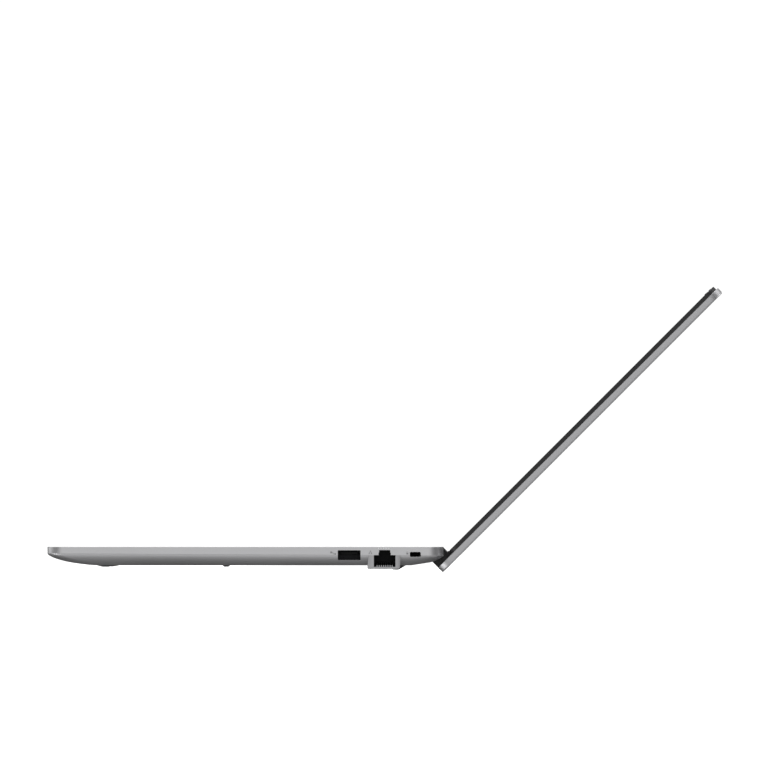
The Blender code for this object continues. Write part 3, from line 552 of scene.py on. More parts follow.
def under_ring(angle):
    """A level of the underside's curve, from the crease (0 degrees) to the flat underside (90)."""
    across = 1 - cos(radians(angle)) ** CURVE_POWER if angle < 90 else 1
    down = sin(radians(angle)) ** CURVE_POWER
    radius = CORNER_R + (UNDER_CORNER_R - CORNER_R) * across

    def height(y):
        rise = KINK_SLOPE * max(0, y - KINK_Y) * down
        return (seam_z(y) - PARTING) * (1 - down) + rise

    return base_ring(CURVE_FRONT * across, CURVE_SIDE * across, CURVE_REAR * across, radius, height)


def curve_inset(y, z):
    """How far the underside's curve lies inside the side plane at a height below the crease."""
    sine = (1 - z / seam_z(y)) ** (1 / CURVE_POWER)
    return CURVE_SIDE * (1 - (1 - sine**2) ** (CURVE_POWER / 2))


def jack_outline(margin):
    """The jack's opening: the plug's square and the latch's slot above it, which narrows at its top."""
    wide, step, latch = 6.35 - margin, 3.6 - margin, 3.3 - margin
    right = [(wide, -0.9 + margin), (wide, 6 - margin), (step, 6 - margin), (step, 7.5 - margin),
             (latch, 7.5 - margin), (latch, 8.7 - margin), (latch - 0.3, 9 - margin)]
    return [(JACK_Y + u, v) for u, v in right] + [(JACK_Y - u, v) for u, v in reversed(right)]


def wall_cuts():
    """Every opening that passes through the covers' side walls, and the hinge brackets' windows."""
    cuts = []
    for side, y, width, low_z, high_z, radius, _ in PORTS.values():
        outline = rounded(around(y, width), (low_z, high_z), radius, 8)
        cuts.append(prism(outline, on_side(side, *PORT_CUT), "X"))
    cuts.append(prism(jack_outline(0), JACK_CUT, "X"))
    cuts.append(prism(rounded(LOCK_Y, LOCK_Z, 0.7, 6), PORT_CUT, "X"))
    cuts += [block(x, (216, 224), (5.2, 7.2)) for x in mirrored(grown(KNUCKLE, 0.5))]
    return cuts


def port_blocks(above):
    """Solid material behind the wall around each port, above or below the covers' crease."""
    made = []
    for side, y, width, low_z, *_ in PORTS.values():
        reach = grown(around(y, width), 2)
        z = (seam_z(reach[0]) + 0.1, DECK_Z - 0.5) if above else (low_z - 0.4, seam_z(reach[1]) - 0.1)
        outer = SIDE_X - (0.5 if above else 0.15 + curve_inset(y, low_z - 0.4))
        made.append(block(on_side(side, SOCKET_FRONT + 0.1, outer), reach, z))
    return made


def build_top_cover():
    """The deck with its rounded rim, the keyboard and touchpad openings and the upper side wall."""
    rings = [base_ring(0, 0, 0, CORNER_R, lambda y: seam_z(y) + PARTING)]
    for angle in (0, 18, 36, 54, 72, 90):
        inset = DECK_EDGE * (1 - cos(radians(angle)))
        z = DECK_Z - DECK_EDGE * (1 - sin(radians(angle)))
        rings.append(base_ring(inset, inset, inset, CORNER_R - inset, lambda y, z=z: z, inset))
    edge = [(0, 9), (0, DECK_Z - 0.3), (-0.3, DECK_Z), (-0.3, 12)]
    openings = [pillow(KEYBOARD_X, KEYBOARD_Y, edge, 2.2),
                pillow(grown(PAD_X, PAD_GAP), grown(PAD_Y, PAD_GAP), edge, 2.6)]
    made = combine(skin(rings, start=False), port_blocks(True), openings + wall_cuts(), WALL)
    add_piece("deck_shell", made, "case", "top_cover")


def vent_cuts():
    """Intake slots under the fan, exhaust slots behind the heat sink and speaker grilles."""
    cuts = [block(x, (143, 182), UNDER_CUT_Z, 0.98, steps=4) for x in evenly(80, 4, 2, 12)]
    cuts += [prism(rounded(x, (2.4, 4.9), 0.95, 4), (218.5, 223), "Y") for x in evenly(73, 2.8, 2, 17)]
    for x in mirrored((116, 138)):
        cuts += [block(x, y, UNDER_CUT_Z, 0.68, steps=4) for y in evenly(52, 3, 1.4, 5)]
    return cuts


def foot_seat(x, y):
    return block(x, grown(y, SEAT_GAP), SEAT_Z, SEAT_R, steps=8)


def bulge():
    """The box around the jack that drops below the underside. Its sides lean forward."""
    rings = []
    middle = sum(BULGE_Y) / 2
    for x, inset, depth in ((SIDE_X, 0.25, 1), (SIDE_X - 0.1, 0.08, 1), (SIDE_X - 0.3, 0, 1),
                            (168, 0, 1), (164, 0, 0.75), (157, 0, 0), (150, 0.5, -0.35)):
        low_z = BULGE_LOW * depth + inset
        half = (BULGE_Y[1] - BULGE_Y[0]) / 2 - inset
        foot = middle - BULGE_LEAN
        front = arc((foot - half + BULGE_FRONT_R, low_z + BULGE_FRONT_R), BULGE_FRONT_R, 180, 270, 6)
        rear = arc((foot + half - BULGE_REAR_R, low_z + BULGE_REAR_R), BULGE_REAR_R, -90, 0, 6)
        outline = [(middle - half, BULGE_TOP), *front, *rear, (middle + half, BULGE_TOP)]
        draft = BULGE_DRAFT if x > SOCKET_FRONT else 0
        rings.append([(x - draft * (BULGE_TOP - v), u, v) for u, v in outline])
    return skin(rings)


def build_bottom_cover():
    """The curved tub with screw seats, vents and foot seats, and a gap for the jack's insert."""
    rings = [under_ring(angle) for angle in CURVE_ANGLES]
    bm = skin(rings, start=False, end=False)
    last = list(bm.verts)[-len(rings[-1]):]
    kink = next(i for i, vert in enumerate(last) if abs(vert.co.y - KINK_Y) < 1e-6)
    other = len(last) - 1 - kink
    bm.faces.new(last[:kink + 1] + last[other:])
    bm.faces.new(last[kink:other + 1])
    bosses = [turned((x, y, 0), [(4.2, 0.8), (4.2, 5), (3, 9)], 28) for x, y in SCREWS]
    bore = [(3.3, -1), (3.1, 0.25), (3.1, 1.2), (1.5, 1.2), (1.5, 9.5)]
    cuts = [bulge(), *[turned((x, y, 0), bore, 32) for x, y in SCREWS]]
    for foot_x, foot_y, *_ in FEET.values():
        cuts += [foot_seat(x, foot_y) for x in mirrored(grown(foot_x, SEAT_GAP))]
    cuts += [turned((0, STUD_Y, 0), [(2.4, -1), (2.4, 0.5)], 32), *vent_cuts(), *wall_cuts()]
    add_piece("underside_shell", combine(bm, port_blocks(False) + bosses, cuts, WALL), "case", "bottom_cover")


def build_jack_insert():
    """The moulded insert around the Ethernet jack, hollow where the jack sits."""
    room = block((158.2, SIDE_X - 1.5), (189.5, 206.3), (-1, 9))
    above_floor = block((148, 171.5), (187.3, 208.7), (WALL + 0.1, 9))
    foot_x, foot_y, *_ = FEET["rear"]
    seat = foot_seat((145, foot_x[1] + SEAT_GAP), foot_y)
    mouth = prism(jack_outline(0), JACK_CUT, "X")
    add_piece("jack_insert", cut(bulge(), room, above_floor, seat, mouth), "insert")


# Feet and screws

def foot_bar(x, y, flat, edge_z, low_z):
    """A rubber bar whose faces slope from its glued edge to the strip that it stands on."""
    rings = []
    for share, z in ((0, edge_z + 0.3), *[(s, edge_z + (low_z - edge_z) * s) for s in (0, 0.5, 0.93, 1)]):
        span = (y[0] + (flat[0] - y[0]) * share, y[1] - (y[1] - flat[1]) * share)
        outline = rounded(grown(x, -2.4 * share), span, 4.6 - 3.4 * share, 8)
        rings.append([(u, v, z) for u, v in outline])
    return skin(rings)


def build_feet():
    for end, (x, *shape) in FEET.items():
        for side, span in zip(SIDES, mirrored(x)):
            add_piece(f"{end}_pad_{side}", foot_bar(span, *shape), "rubber", f"{end}_foot_{side}")
    stud = turned((0, STUD_Y, 0), [(0.9, -0.97), (1.3, -0.93), (1.75, -0.6), (2.1, -0.15), (2.2, 0.2)])
    add_piece("middle_stud", stud, "rubber", "centre_foot")


def build_screws():
    """Screw heads with six-lobed recesses."""
    heads, recesses = bmesh.new(), bmesh.new()
    angles = [2 * pi * i / 48 for i in range(48)]
    lobes = [(1.05 + 0.22 * cos(6 * a), a) for a in angles]
    for x, y in SCREWS:
        turned((x, y, 0), [(1.1, 8), (1.1, 0.95), (2.7, 0.95), (2.7, 0.52), (2.52, 0.35)], 36, bm=heads)
        prism([(x + r * cos(a), y + r * sin(a)) for r, a in lobes], (-1, 0.8), bm=recesses)
    names = [f"cover_screw_{i + 1}" for i in range(len(SCREWS))]
    add_piece("base_screws", cut(heads, recesses), "steel", *names)


# Sockets

def build_shell(name):
    """A shell open to the side, with two sprung dents in its floor where a USB plug goes."""
    side, y, width, low_z, high_z, radius, _ = PORTS[name]
    span, height = around(y, width), (low_z, high_z)
    outer = rounded(grown(span, 0.3), grown(height, 0.3), radius + 0.3, 8)
    inner = rounded(grown(span, -0.15), grown(height, -0.15), radius, 8)
    shell = cut(prism(outer, on_side(side, SOCKET_BACK, SOCKET_FRONT), "X"),
                prism(inner, on_side(side, SOCKET_BACK + 0.8, 178), "X"))
    if name.startswith("usb_socket"):
        leaf = [(171, low_z), (172.6, low_z + 0.62), (173.4, low_z + 0.62), (174.6, low_z)]
        for middle in (y - 3.2, y + 3.2):
            shell = combine(shell, [prism([(side * u, v) for u, v in leaf], around(middle, 2.2), "Y")])
    return shell


def build_audio_socket():
    """A plastic sleeve with a contact ring."""
    side, y, _, low_z, high_z, *_ = PORTS["audio_socket"]
    add_piece("audio_socket_sleeve", build_shell("audio_socket"), "plastic", "audio_socket")
    centre = (side * 168, y, (low_z + high_z) / 2)
    ring = cut(turned(centre, [(2.1, 0), (2.1, side * 2.5)], 40, "X"),
               turned(centre, [(1.75, -1), (1.75, side * 4)], 40, "X"))
    add_piece("audio_socket_ring", ring, "contact")


def build_socket(name):
    """A shell with its contact tongue. A lip on the tongue covers the contacts' ends."""
    side, y, width, *_, (low_z, high_z) = PORTS[name]
    front = SOCKET_FRONT - 2.2
    reach = grown(around(y, width), -1.3)
    # The shell takes the near-black metal finish, which is painted shade for the recess
    add_piece(name + "_shell", build_shell(name), "shell", name)
    rings = []
    for inset, x in ((0.35, front), (0.1, front - 0.2), (0, front - 0.5), (0, SOCKET_BACK + 0.5)):
        outline = rounded(grown(reach, -inset), grown((low_z, high_z), -inset / 2), 0.25, 3)
        rings.append([(side * x, u, v) for u, v in outline])
    lip = block(on_side(side, front - 3, front - 2.5), reach, (low_z - 0.06, low_z + 0.2))
    add_piece(name + "_tongue", combine(skin(rings), [lip]), "plastic")
    count, pad = (4, 1) if name.startswith("usb_socket") else (9, 0.4)
    pitch = (reach[1] - reach[0]) / count
    pads = bmesh.new()
    for span in evenly(reach[0] + (pitch - pad) / 2, pitch, pad, count):
        block(on_side(side, SOCKET_BACK + 1, front - 3), span, (low_z - 0.01, low_z + 0.1), bm=pads)
    add_piece(name + "_contacts", pads, "gold")


def build_ethernet_socket():
    """The jack's moulded body, its eight sprung fingers and its two lamps."""
    front = SIDE_X - 1.55
    mouth = prism(jack_outline(0.12), (SOCKET_BACK + 1.2, 182), "X")
    body = cut(block((SOCKET_BACK, front), (189.8, 206), (-0.95, 9.4), 0.4), mouth)
    add_piece("jack_body", body, "plastic", "ethernet_socket")
    profile = [(front + 0.5, -0.85), (front + 0.5, 0.1), (front - 2.6, 1.45), (front - 5, 1.7), (168, 1.7),
               (168, 1.4), (front - 5, 1.4), (front - 2.7, 1.05), (front, -0.85)]
    fingers, lamps = bmesh.new(), bmesh.new()
    for y in evenly(JACK_Y - 3.5 * JACK_PITCH - 0.26, JACK_PITCH, 0.52, 8):
        prism(profile, y, "Y", fingers)
    add_piece("jack_fingers", fingers, "steel")
    for y in evenly(190.7, 12.8, 1.7, 2):
        block((front - 0.6, front - 0.05), y, (7.6, 8.8), 0.2, lamps)
    add_piece("jack_lamps", lamps, "glass")


def build_lock_plate():
    """The steel plate behind the wall that a cable lock grips."""
    plate = block((174.6, 176.6), (211, 220), (4.3, 9))
    opening = prism(rounded(LOCK_Y, LOCK_Z, 0.5, 6), (174, 177), "X")
    add_piece("lock_plate", cut(plate, opening), "steel", "lock_slot_plate")


def side_mark(bm, y, z):
    """A rectangle printed on the right-hand wall."""
    prism(rounded(y, z, 0), (SIDE_X - 0.03, SIDE_X + 0.01), "X", bm)


def build_port_marks():
    """The printed signs ahead of each port, and the row of dashes over the jack."""
    marks, dashes = bmesh.new(), bmesh.new()
    for y, z, boxes in PORT_SIGNS.values():
        for low_y, high_y, low_z, high_z in boxes:
            side_mark(marks, (y + low_y, y + high_y), (z + low_z, z + high_z))
    add_piece("port_signs", marks, "ink")
    for span in evenly(194.12, 1.5, 0.56, 5):
        side_mark(dashes, span, (9.87, 10.23))
    add_piece("link_dashes", dashes, "pale_ink")


# Keyboard, power button and touchpad

def function_key(i):
    """X and Y of a key in the function row. The power button comes after the last."""
    width = 2 * FIELD_X / (FUNCTION_KEYS + 1)
    front = ROW_FRONT + len(PAD_LEGENDS) * KEY_PITCH
    x = grown((-FIELD_X + i * width, -FIELD_X + (i + 1) * width), -KEY_GAP / 2)
    return x, (front, front + FUNCTION_DEPTH)


def key_layout():
    """Each group's keys as (x span, y span, legend)."""
    layout = {}
    left = 0
    for name, (row, keys) in ROWS.items():
        left = left if row == 0 and layout else -FIELD_X
        keys = [(width * KEY_PITCH, legend) for width, legend in keys]
        if name not in ("bottom_left_keys", "space_bar"):
            keys += [(PAD_PITCH, legend) for legend in PAD_LEGENDS[row]]
        front = ROW_FRONT + row * KEY_PITCH
        layout[name] = []
        for width, legend in keys:
            x = grown((left, left + width), -KEY_GAP / 2)
            layout[name].append((x, (front, front + KEY_PITCH - KEY_GAP), legend))
            left += width
    layout["function_row"] = [(*function_key(i), legend) for i, legend in enumerate(FUNCTION_LEGENDS)]
    return layout


def key_spans():
    return [(x, y) for keys in key_layout().values() for x, y, _ in keys]


def key_cap(bm, x, y):
    """A flat-topped cap with a soft rim and a slight draft on its sides."""
    top = CAP_HIGH
    levels = [(0, CAP_LOW), (0.02, 9.5), (0.12, top - 0.55), (0.3, top - 0.22), (0.6, top - 0.06), (1, top)]
    pillow(x, y, levels, CAP_R, bm, 6)


def legends(labels):
    """Every (text, x, y, size, align) on the key caps' tops as one thin mesh."""
    made = []
    for text, x, y, size, align in labels:
        data = bpy.data.curves.new("legend", "FONT")
        data.body = text
        data.size = size
        data.align_x = align
        data.align_y = "CENTER"
        data.extrude = 0.012
        data.resolution_u = 3
        made.append(add_object("legend", data))
        made[-1].location = (x, y, CAP_HIGH)
    graph = bpy.context.evaluated_depsgraph_get()
    bm = bmesh.new()
    for obj in made:
        mesh = bpy.data.meshes.new_from_object(obj.evaluated_get(graph))
        mesh.transform(Matrix.Translation(obj.location))
        bm.from_mesh(mesh)
        bpy.data.objects.remove(obj)
    return bm


def build_keys():
    """Key caps on their webs, and the printed legends, which ride with them."""
    for name, keys in key_layout().items():
        bm = block((keys[0][0][0], keys[-1][0][1]), grown(keys[0][1], -3), (7.6, 8.1))
        labels = []
        for x, y, legend in keys:
            middle_x, middle_y = sum(x) / 2, sum(y) / 2
            if legend == "^ v":
                key_cap(bm, x, (y[0], middle_y - 0.3))
                key_cap(bm, x, (middle_y + 0.3, y[1]))
                labels.append(("v", middle_x, middle_y - 4, 3, "CENTER"))
                labels.append(("^", middle_x, middle_y + 3.2, 3.6, "CENTER"))
                continue
            key_cap(bm, x, y)
            if name == "function_row":
                labels.append((legend, middle_x, middle_y, 2.5, "CENTER"))
            elif len(legend) > 1:
                labels.append((legend, x[0] + 2.2, y[0] + 4, 2.7, "LEFT"))
            elif legend:
                labels.append((legend, x[0] + 4.8, y[1] - 5.2, 4.6, "CENTER"))
        add_piece(name + "_caps", bm, "key", name, body=name)
        if labels:
            add_piece(name + "_legends", legends(labels), "legend", body=name)


def build_key_surround():
    """The raised lattice between the keys, in the case's colour, on its plate under the deck."""
    plate = block((-165.2, 165.2), (101.9, 208.1), (8.4, 9.2), 2.5)
    edge = [(0, 8.8), (0, 9.75), (0.1, 9.93), (0.28, 10)]
    lattice = pillow(grown(KEYBOARD_X, -0.2), grown(KEYBOARD_Y, -0.2), edge, 2)
    holes = bmesh.new()
    for x, y in key_spans() + [function_key(FUNCTION_KEYS)]:
        pillow(grown(x, 0.55), grown(y, 0.55), [(0, 7), (0, 9.85), (-0.2, 10.05), (-0.2, 11)], 2, holes)
    add_piece("key_surround", combine(plate, [lattice], [holes]), "frame", "keyboard_frame")


def build_power_button():
    """A cap lower than the keys, with a printed sign and a lamp."""
    x, y = function_key(FUNCTION_KEYS)
    levels = [(0, 7.7), (0.02, 9.6), (0.12, 10.1), (0.3, 10.38), (0.6, 10.47), (0.9, 10.5)]
    add_piece("power_cap", pillow(x, y, levels, CAP_R, steps=6), "key", "power_button", body="power_button")
    centre, print_z = (sum(x) / 2, sum(y) / 2), (10.49, 10.512)
    sign = prism(arc(centre, 1.75, 125, 415, 28) + arc(centre, 1.4, 415, 125, 28), print_z)
    block(around(centre[0], 0.34), (centre[1] + 0.3, centre[1] + 2.1), print_z, bm=sign)
    add_piece("power_sign", sign, "legend", body="power_button")
    lamp = block((x[0] + 1.6, x[0] + 2.8), (y[0] + 1, y[0] + 1.5), (10.47, 10.51), 0.2)
    add_piece("power_lamp", lamp, "lamp", body="power_button")


def build_touchpad():
    levels = [(0, 9.3), (0, 10.45), (0.08, 10.58), (0.22, 10.65)]
    add_piece("touch_plate", pillow(PAD_X, PAD_Y, levels, 2.2, steps=8), "pad", "touchpad", body="touchpad")


# Hinges

def build_rear_rail():
    """The dark bar between the hinges, on a neck that joins it to the base."""
    length = KNUCKLE[0] - 0.4
    bar = turned((0, AXIS_Y, AXIS_Z), chamfered(BARREL_R, -length, length, 0.25), 64, "X")
    neck = block((-length, length), (NOTCH_Y + 0.1, AXIS_Y - 3), LEAF_Z)
    add_piece("barrel_rail", combine(bar, [neck]), "hinge", "rear_rail")


def build_hinge(side, sign):
    """The base's knuckle with its leaf, the lid's arm, and the pin between them."""
    def bar(centre, profile, sides):
        return turned(centre, [(r, sign * x) for r, x in profile], sides, "X")

    axis = (0, AXIS_Y, AXIS_Z)
    barrel = bar(axis, chamfered(BARREL_R, *KNUCKLE, 0.25), 64)
    leaf = block(on_side(sign, *KNUCKLE), (AXIS_Y - 17, AXIS_Y - 3), LEAF_Z)
    bore = bar(axis, [(BORE_R, x) for x in grown(KNUCKLE, 2)], 48)
    add_piece(f"knuckle_{side}", combine(barrel, [leaf], [bore]), "hinge", f"hinge_bracket_{side}")

    axis = (0, 0, 0)
    hub = bar(axis, [(HUB_R, x) for x in ARM_HUB], 64)
    upright = block(on_side(sign, *ARM_HUB), (-3.3, 3.3), (0, 9.3))
    plate = block(on_side(sign, 126, ARM_HUB[1]), (-60, 3.3), (8.35, 9.3), 1.2)
    bore = bar(axis, [(BORE_R, 138), (BORE_R, 145)], 48)
    add_lid_piece(f"lid_arm_{side}", combine(hub, [upright, plate], [bore]), "hinge", f"hinge_arm_{side}")
    pin = bar(axis, chamfered(PIN_R, KNUCKLE[0] + 0.6, ARM_HUB[1], 0.3), 48)
    add_lid_piece(f"pivot_{side}", pin, "steel", f"hinge_pin_{side}")


def build_hinge_cap():
    """The dark trim that wraps the rail and turns with the lid."""
    hollow, bottom, shoulder, lip = 4.4, 0.3, 4.5, 1.75
    top, rear = COVER_LOW - 0.03, LID_REAR - 0.05
    start = degrees(atan2(bottom, -sqrt(hollow**2 - bottom**2)))
    end = degrees(asin(lip / hollow))
    profile = [(-6.95, top), (-6.95, shoulder), (-5.9, shoulder - 0.3),
               *arc((-5.4, bottom + 0.5), 0.5, 180, 270, 5), *arc((0, 0), hollow, start, end, 40),
               (rear - 0.15, lip), (rear, lip + 0.2), (rear, top)]
    add_lid_piece("hinge_shroud", prism(profile, (-CAP_X, CAP_X), "X"), "hinge", "hinge_cap")


# Insides

def spun(bm, angle, x, y):
    """Turns a shape about an upright axis."""
    turn = Matrix.Translation((x, y, 0)) @ Matrix.Rotation(angle, 4, "Z") @ Matrix.Translation((-x, -y, 0))
    bmesh.ops.transform(bm, matrix=turn, verts=bm.verts)
    return bm


def build_fan_housing():
    """The blower's case: two intakes, a rear outlet and a spider that carries the motor."""
    centre = (FAN_X, FAN_Y, 0)
    low_z, high_z = grown(FAN_Z, -FAN_SHEET)
    case = block(around(FAN_X, 55), around(FAN_Y, 55), FAN_Z, 9, steps=8)
    chamber = turned(centre, [(25.2, low_z), (25.2, high_z)], 72)
    intake = turned(centre, [(16, FAN_Z[0] - 1), (16, FAN_Z[1] + 1)], 72)
    outlet = block(around(FAN_X, 44), (FAN_Y + 10, 192), (low_z, high_z))
    seat = turned(centre, [(9, high_z), (9, FAN_Z[1] - 0.02)], 48)
    arms = [spun(block(around(FAN_X, 2.6), (FAN_Y + 8, FAN_Y + 17), (high_z, FAN_Z[1] - 0.04)),
                 radians(60 + 120 * i), FAN_X, FAN_Y) for i in range(3)]
    case = cut(case, chamber, intake, outlet)
    add_piece("fan_case", combine(case, [seat, *arms]), "plastic", "fan_housing")


def blade_edge(i, offset):
    """One side of a swept blade, from the hub outwards."""
    points = []
    for share in (0, 0.2, 0.4, 0.6, 0.8, 1):
        r = 9.4 + 13.8 * share
        a = 2 * pi * i / FAN_BLADES + 0.42 * share**1.5 + offset / r
        points.append((FAN_X + r * cos(a), FAN_Y + r * sin(a)))
    return points


def build_fan_rotor():
    """A hub with swept blades, tied together by a thin ring near their tips."""
    centre = (FAN_X, FAN_Y, 0)
    low_z, high_z = 2.6, 4.3
    hub = turned(centre, [(9.3, low_z), (9.8, low_z + 0.25), (9.8, high_z - 0.25), (9.3, high_z)], 64)
    ring = cut(turned(centre, [(22.6, 3.1), (22.6, 3.6)], 96), turned(centre, [(22, 3), (22, 3.7)], 96))
    vanes = bmesh.new()
    for i in range(FAN_BLADES):
        prism(blade_edge(i, -0.25) + blade_edge(i, 0.25)[::-1], (low_z + 0.1, high_z - 0.1), bm=vanes)
    add_piece("fan_impeller", combine(hub, [vanes, ring]), "plastic", "fan_rotor", body="fan_rotor")


def build_heat_sink():
    """A stack of thin fins behind the fan's outlet."""
    gaps = bmesh.new()
    for x in evenly(73, 1.6, 1.3, 36):
        block(x, (200, 220), (2.8, 4.9), bm=gaps)
    stack = block((72, 132), (200.8, 219), (2.6, 5.1))
    add_piece("fin_stack", cut(stack, gaps), "contact", "heat_sink")


def build_heat_pipe():
    """A flattened copper tube that leads in an S from the processor to the fins, with pinched ends."""
    rings = []
    start, end, front, offset = -30, 132, 150, 46
    bend, run, steps = 6, 58, 44
    for i in range(steps + 1):
        x = start + (end - start) * i / steps
        share = min(1, max(0, (x - bend) / run))
        y = front + offset * share**2 * (3 - 2 * share)
        turn = atan(offset / run * 6 * share * (1 - share))
        half = 2.1 if i in (0, steps) else 3
        section = rounded((-half, half), (1.8, 3), 0.55)
        rings.append([(x - u * sin(turn), y + u * cos(turn), v) for u, v in section])
    add_piece("heat_pipe_tube", skin(rings), "copper", "heat_pipe")


def build_battery():
    """Four pouch cells in a tray, and the strip of electronics that joins them."""
    depth, rear = (BATTERY_Y[0] + 1.6, BATTERY_Y[1] - 9), BATTERY_Y[1]
    wells, cells, parts = bmesh.new(), bmesh.new(), bmesh.new()
    for span in evenly(BATTERY_X[0] + 1.6, 51.9, 51.1, 4):
        left = span[0]
        block(span, depth, (2.4, 6), 2, wells)
        pillow(span, depth, [(0.9, 2.5), (0.35, 2.9), (0.25, 7.2), (0.5, 7.6), (1.1, 7.8)], 3, cells)
        block((left + 6, left + 15), (rear - 7, rear - 4), (5.2, 6.4), 0.3, parts)
        block((left + 20, left + 24), (rear - 6.5, rear - 3), (5.2, 6), 0.3, parts)
    tray = cut(block(BATTERY_X, BATTERY_Y, (1.8, 5.4), 2.5), wells)
    add_piece("battery_tray", tray, "plastic", "battery")
    add_piece("battery_cells", cells, "slider")
    add_piece("battery_electronics", parts, "contact")


def build_speakers():
    """Sealed boxes with a round cone that faces the grille below."""
    y = (46, 78)
    cone = [(10.3, 3.2), (10, 2.5), (9, 2.2), (8, 2.5), (5, 3.1), (4.6, 2.8), (2, 2.4)]
    for side, x in zip(SIDES, mirrored((112, 142))):
        centre = (sum(x) / 2, sum(y) / 2, 0)
        body = pillow(x, y, [(0.7, 1.9), (0.1, 2.4), (0, 6.9), (0.7, 7.5)], 3)
        mouth = turned(centre, [(11, 1), (10.5, 3.4)], 56)
        add_piece(f"speaker_box_{side}", cut(body, mouth), "plastic", f"speaker_{side}")
        add_piece(f"speaker_cone_{side}", turned(centre, cone, 56), "rubber")


def build_card(name, node, x, y, chips, pads_end):
    """A card under the main board: chips face down, gold pads lie along one end."""
    add_piece(name + "_board", block(x, y, (2.35, 3.1), 0.6), "board", node)
    packages, pads = bmesh.new(), bmesh.new()
    for left, front, width, depth in chips:
        corner_x, corner_y = x[0] + left, y[0] + front
        block((corner_x, corner_x + width), (corner_y, corner_y + depth), (1.8, 2.4), 0.3, packages)
    add_piece(name + "_chips", packages, "plastic")
    strip = (y[0] + 0.3, y[0] + 2.3) if pads_end == "front" else (y[1] - 2.3, y[1] - 0.3)
    for span in evenly(x[0] + 1.2, 1.2, 0.8, int((x[1] - x[0] - 2) / 1.2)):
        block(span, strip, (2.31, 2.4), bm=pads)
    add_piece(name + "_pads", pads, "gold")


def build_main_board():
    """The main board with screw holes, the processor, chips, coils and connectors."""
    fixings = [(u, v, 0) for u in grown(BOARD_X, -5) for v in grown(BOARD_Y, -5)] + [(-60, 152, 0)]
    hole = [(1.6, 3), (1.6, 5)]
    notches = [block((-30, -8), (BOARD_Y[1] - 9, BOARD_Y[1] + 2), (3, 5), 1.5),
               block((BOARD_X[0] - 2, BOARD_X[0] + 8), (146, 160), (3, 5), 1.5)]
    cuts = [turned(at, hole, 24) for at in fixings] + notches
    add_piece("main_board", cut(block(BOARD_X, BOARD_Y, BOARD_Z, 2), *cuts), "board", "motherboard")

    chips, metal = bmesh.new(), bmesh.new()
    for x in evenly(-100, 15, 12, 4):
        block(x, (168, 178), (OVER_BOARD, 5.3), 0.4, chips)
    for x in evenly(-148, 11, 7, 4):
        block(x, (188, 195), (2.5, UNDER_BOARD), 0.4, chips)
    block((-34, 8), (137, 163), (3.2, UNDER_BOARD), 0.6, chips)
    block((20, 36), (140, 156), (OVER_BOARD, 5.2), 0.4, chips)
    block((-112, -40), (112.6, 114.6), (1.9, UNDER_BOARD), 0.3, chips)
    block((60.3, 61.8), (114, 132), (1.9, UNDER_BOARD), 0.3, chips)
    add_piece("board_chips", chips, "plastic")

    block((-24, -2), (144, 156), (3.02, 3.25), 0.3, metal)
    for x in evenly(-54, 7, 6, 6):
        block(x, (168, 174), (2, UNDER_BOARD), 0.8, metal)
    for at in fixings:
        disc = turned(at, [(2.8, z) for z in grown(BOARD_Z, 0.04)], 28)
        metal.from_mesh(closed_mesh(cut(disc, turned(at, hole, 28))))
    add_piece("board_coils", metal, "contact")


def build_keyboard_plate():
    """The steel plate under the keys, pierced where each key's hinge hooks in."""
    windows = bmesh.new()
    for x, y in key_spans():
        depth = around(sum(y) / 2, min(8.4, y[1] - y[0] - 3.2))
        for middle in (sum(x) / 2 - 2.9, sum(x) / 2 + 2.9):
            block(around(middle, 3.4), depth, (5, 7), 0.5, windows)
    plate = block((-164.6, 164.6), (102.5, 207.5), (5.6, 6.1), 2)
    add_piece("key_plate", cut(plate, windows), "steel", "keyboard_plate")


# Lid

def build_lid_cover():
    """The lid's outer tray with its soft rim, hollow towards the screen."""
    levels = [(0.12, COVER_LOW), (0, COVER_LOW + 0.14), (0, 9.9), (0.07, 10.3), (0.25, 10.62), (0.5, 10.84),
              (0.85, 10.96), (1.3, COVER_HIGH)]
    tray = pillow((-SIDE_X, SIDE_X), (LID_FRONT, LID_REAR), levels, LID_CORNER_R, steps=16)
    hollow = block((-178.3, 178.3), (-226.2, -8.5), (6, 9.8), 7.2, steps=10)
    pockets = [block(x, (-10, 3.8), (6, 9.75)) for x in mirrored((125.5, 143.6))]
    add_lid_piece("lid_shell", cut(tray, hollow, *pockets), "lid", "lid_cover")


def build_bezel():
    """The screen's grained surround with its window, camera slot and microphone holes."""
    levels = [(0.55, BEZEL_LOW), (0.2, BEZEL_LOW + 0.12), (0, BEZEL_LOW + 0.4), (0, COVER_LOW - 0.03)]
    outer = pillow((-BEZEL_X, BEZEL_X), (-226.3, -7), levels, 7.5, steps=12)
    window = [(-0.7, 3), (-0.7, BEZEL_LOW), (0, BEZEL_LOW + 0.5), (0, 8)]
    cuts = [pillow(WINDOW_X, WINDOW_Y, window, 1),
            block((-176, 176), (-222.5, -16.5), (5.1, 8)), block((-20.5, 20.5), (-225.4, -222), (5.1, 8)),
            block((-2.6, 7.2), around(CAMERA_Y, 2), (3, 8), 0.5)]
    cuts += [block(x, (-225.2, -222.8), (3, 5.1), 0.6) for x in mirrored((115, 125))]
    for x, radius in ((-28, 0.45), (28, 0.45), (LAMP_X, 0.5)):
        cuts.append(turned((x, CAMERA_Y, 0), [(radius, 3), (radius, 5.4)], 20))
    add_lid_piece("screen_surround", cut(outer, *cuts), "bezel", "screen_bezel")


def build_display():
    """The panel with its black border, and the lit area's film inside it."""
    panel = block((-175.5, 175.5), (-220.4, -17), (5.4, 8), 0.6)
    add_lid_piece("panel_module", panel, "bezel", "display_panel")
    film = pillow((-171.2, 171.2), (-216.9, -25.6), [(0, 5.45), (0, 5.38), (0.06, 5.36)], 0.3)
    add_lid_piece("panel_film", film, "screen")


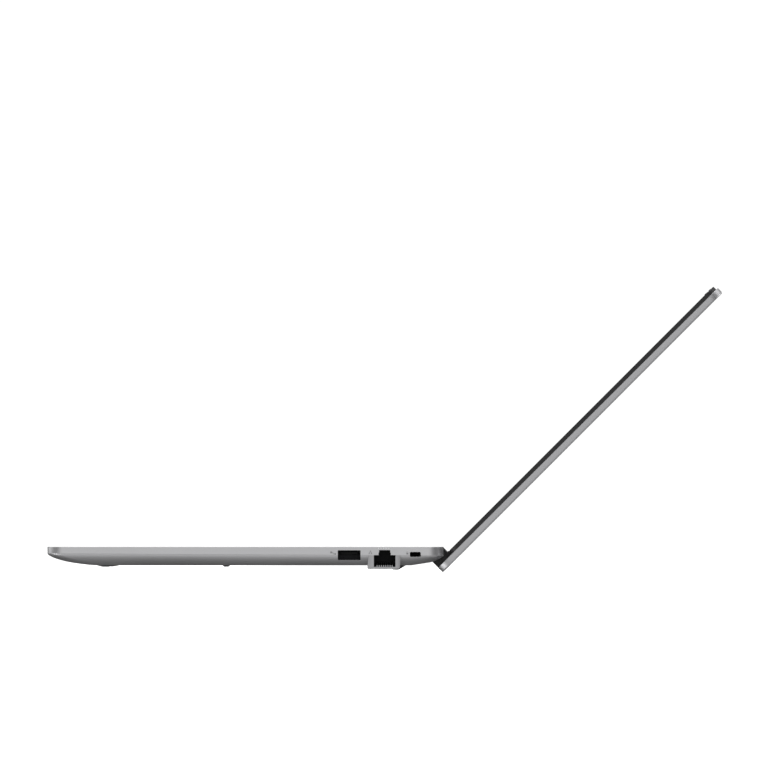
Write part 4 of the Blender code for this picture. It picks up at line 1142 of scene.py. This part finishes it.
def build_camera():
    """The camera's board behind its black foil, the lens and the lamp."""
    board_y = (-225, -222)
    add_lid_piece("camera_board", block((-20, 20), board_y, (5.75, 6.4), 0.5), "board", "camera_module")
    foil = block((-19.6, 19.6), grown(board_y, -0.1), (5.42, 5.76), 0.5)
    block((-4, 4), grown(board_y, -0.1), (6.38, 7.7), 0.5, foil)
    add_lid_piece("camera_foil", foil, "plastic")
    lens, lamp = (LENS_X, CAMERA_Y, 0), (LAMP_X, CAMERA_Y, 0)
    ring = cut(turned(lens, [(0.98, 5.42), (0.98, 5.16), (0.9, 5.1)], 40),
               turned(lens, [(0.75, 5), (0.7, 5.3)], 40))
    add_lid_piece("lens_ring", ring, "plastic")
    glass = turned(lens, [(0.72, 5.35), (0.72, 5.24), (0.5, 5.18), (0.25, 5.15)], 40)
    add_lid_piece("lens_glass", glass, "glass")
    add_lid_piece("camera_lamp", turned(lamp, [(0.45, 5.4), (0.45, 4.62), (0.35, 4.57)], 24), "lamp")


def build_privacy_slider():
    """The slider that covers the lens, with three ribs for a fingertip."""
    slider = pillow((2.8, 6.8), around(CAMERA_Y, 1.2), [(0, 5), (0, 4.45), (0.06, 4.36), (0.16, 4.32)], 0.4)
    for x in evenly(4.1, 0.6, 0.25, 3):
        block(x, around(CAMERA_Y, 0.9), (4.3, 4.4), bm=slider)
    add_lid_piece("privacy_slider", slider, "slider", "camera_shutter", body="camera_shutter")


def build_bumpers():
    """Soft pads that rest on the deck when the lid is closed."""
    for side, x in zip(SIDES, mirrored((115.4, 124.6))):
        pad = pillow(x, (-224.9, -223.1), [(0, 4.8), (0, 4.42), (0.12, 4.28), (0.4, 4.2)], 0.85, steps=8)
        add_lid_piece(f"bumper_{side}", pad, "rubber", f"lid_bumper_{side}")


# Run

add_camera()
add_lights()
add_world()
add_floor()
build_top_cover()
build_bottom_cover()
build_jack_insert()
build_feet()
build_screws()
for socket in PORTS:
    if socket != "audio_socket":
        build_socket(socket)
build_audio_socket()
build_ethernet_socket()
build_lock_plate()
build_port_marks()
build_keys()
build_key_surround()
build_power_button()
build_touchpad()
build_rear_rail()
for hinge_side, hinge_sign in zip(SIDES, (1, -1)):
    build_hinge(hinge_side, hinge_sign)
build_hinge_cap()
build_fan_housing()
build_fan_rotor()
build_heat_sink()
build_heat_pipe()
build_battery()
build_speakers()
build_main_board()
for card_name, card in SMALL_CARDS.items():
    build_card(card_name, *card)
build_keyboard_plate()
build_lid_cover()
build_bezel()
build_display()
build_camera()
build_privacy_slider()
build_bumpers()

bpy.context.scene.view_settings.view_transform = "Standard"
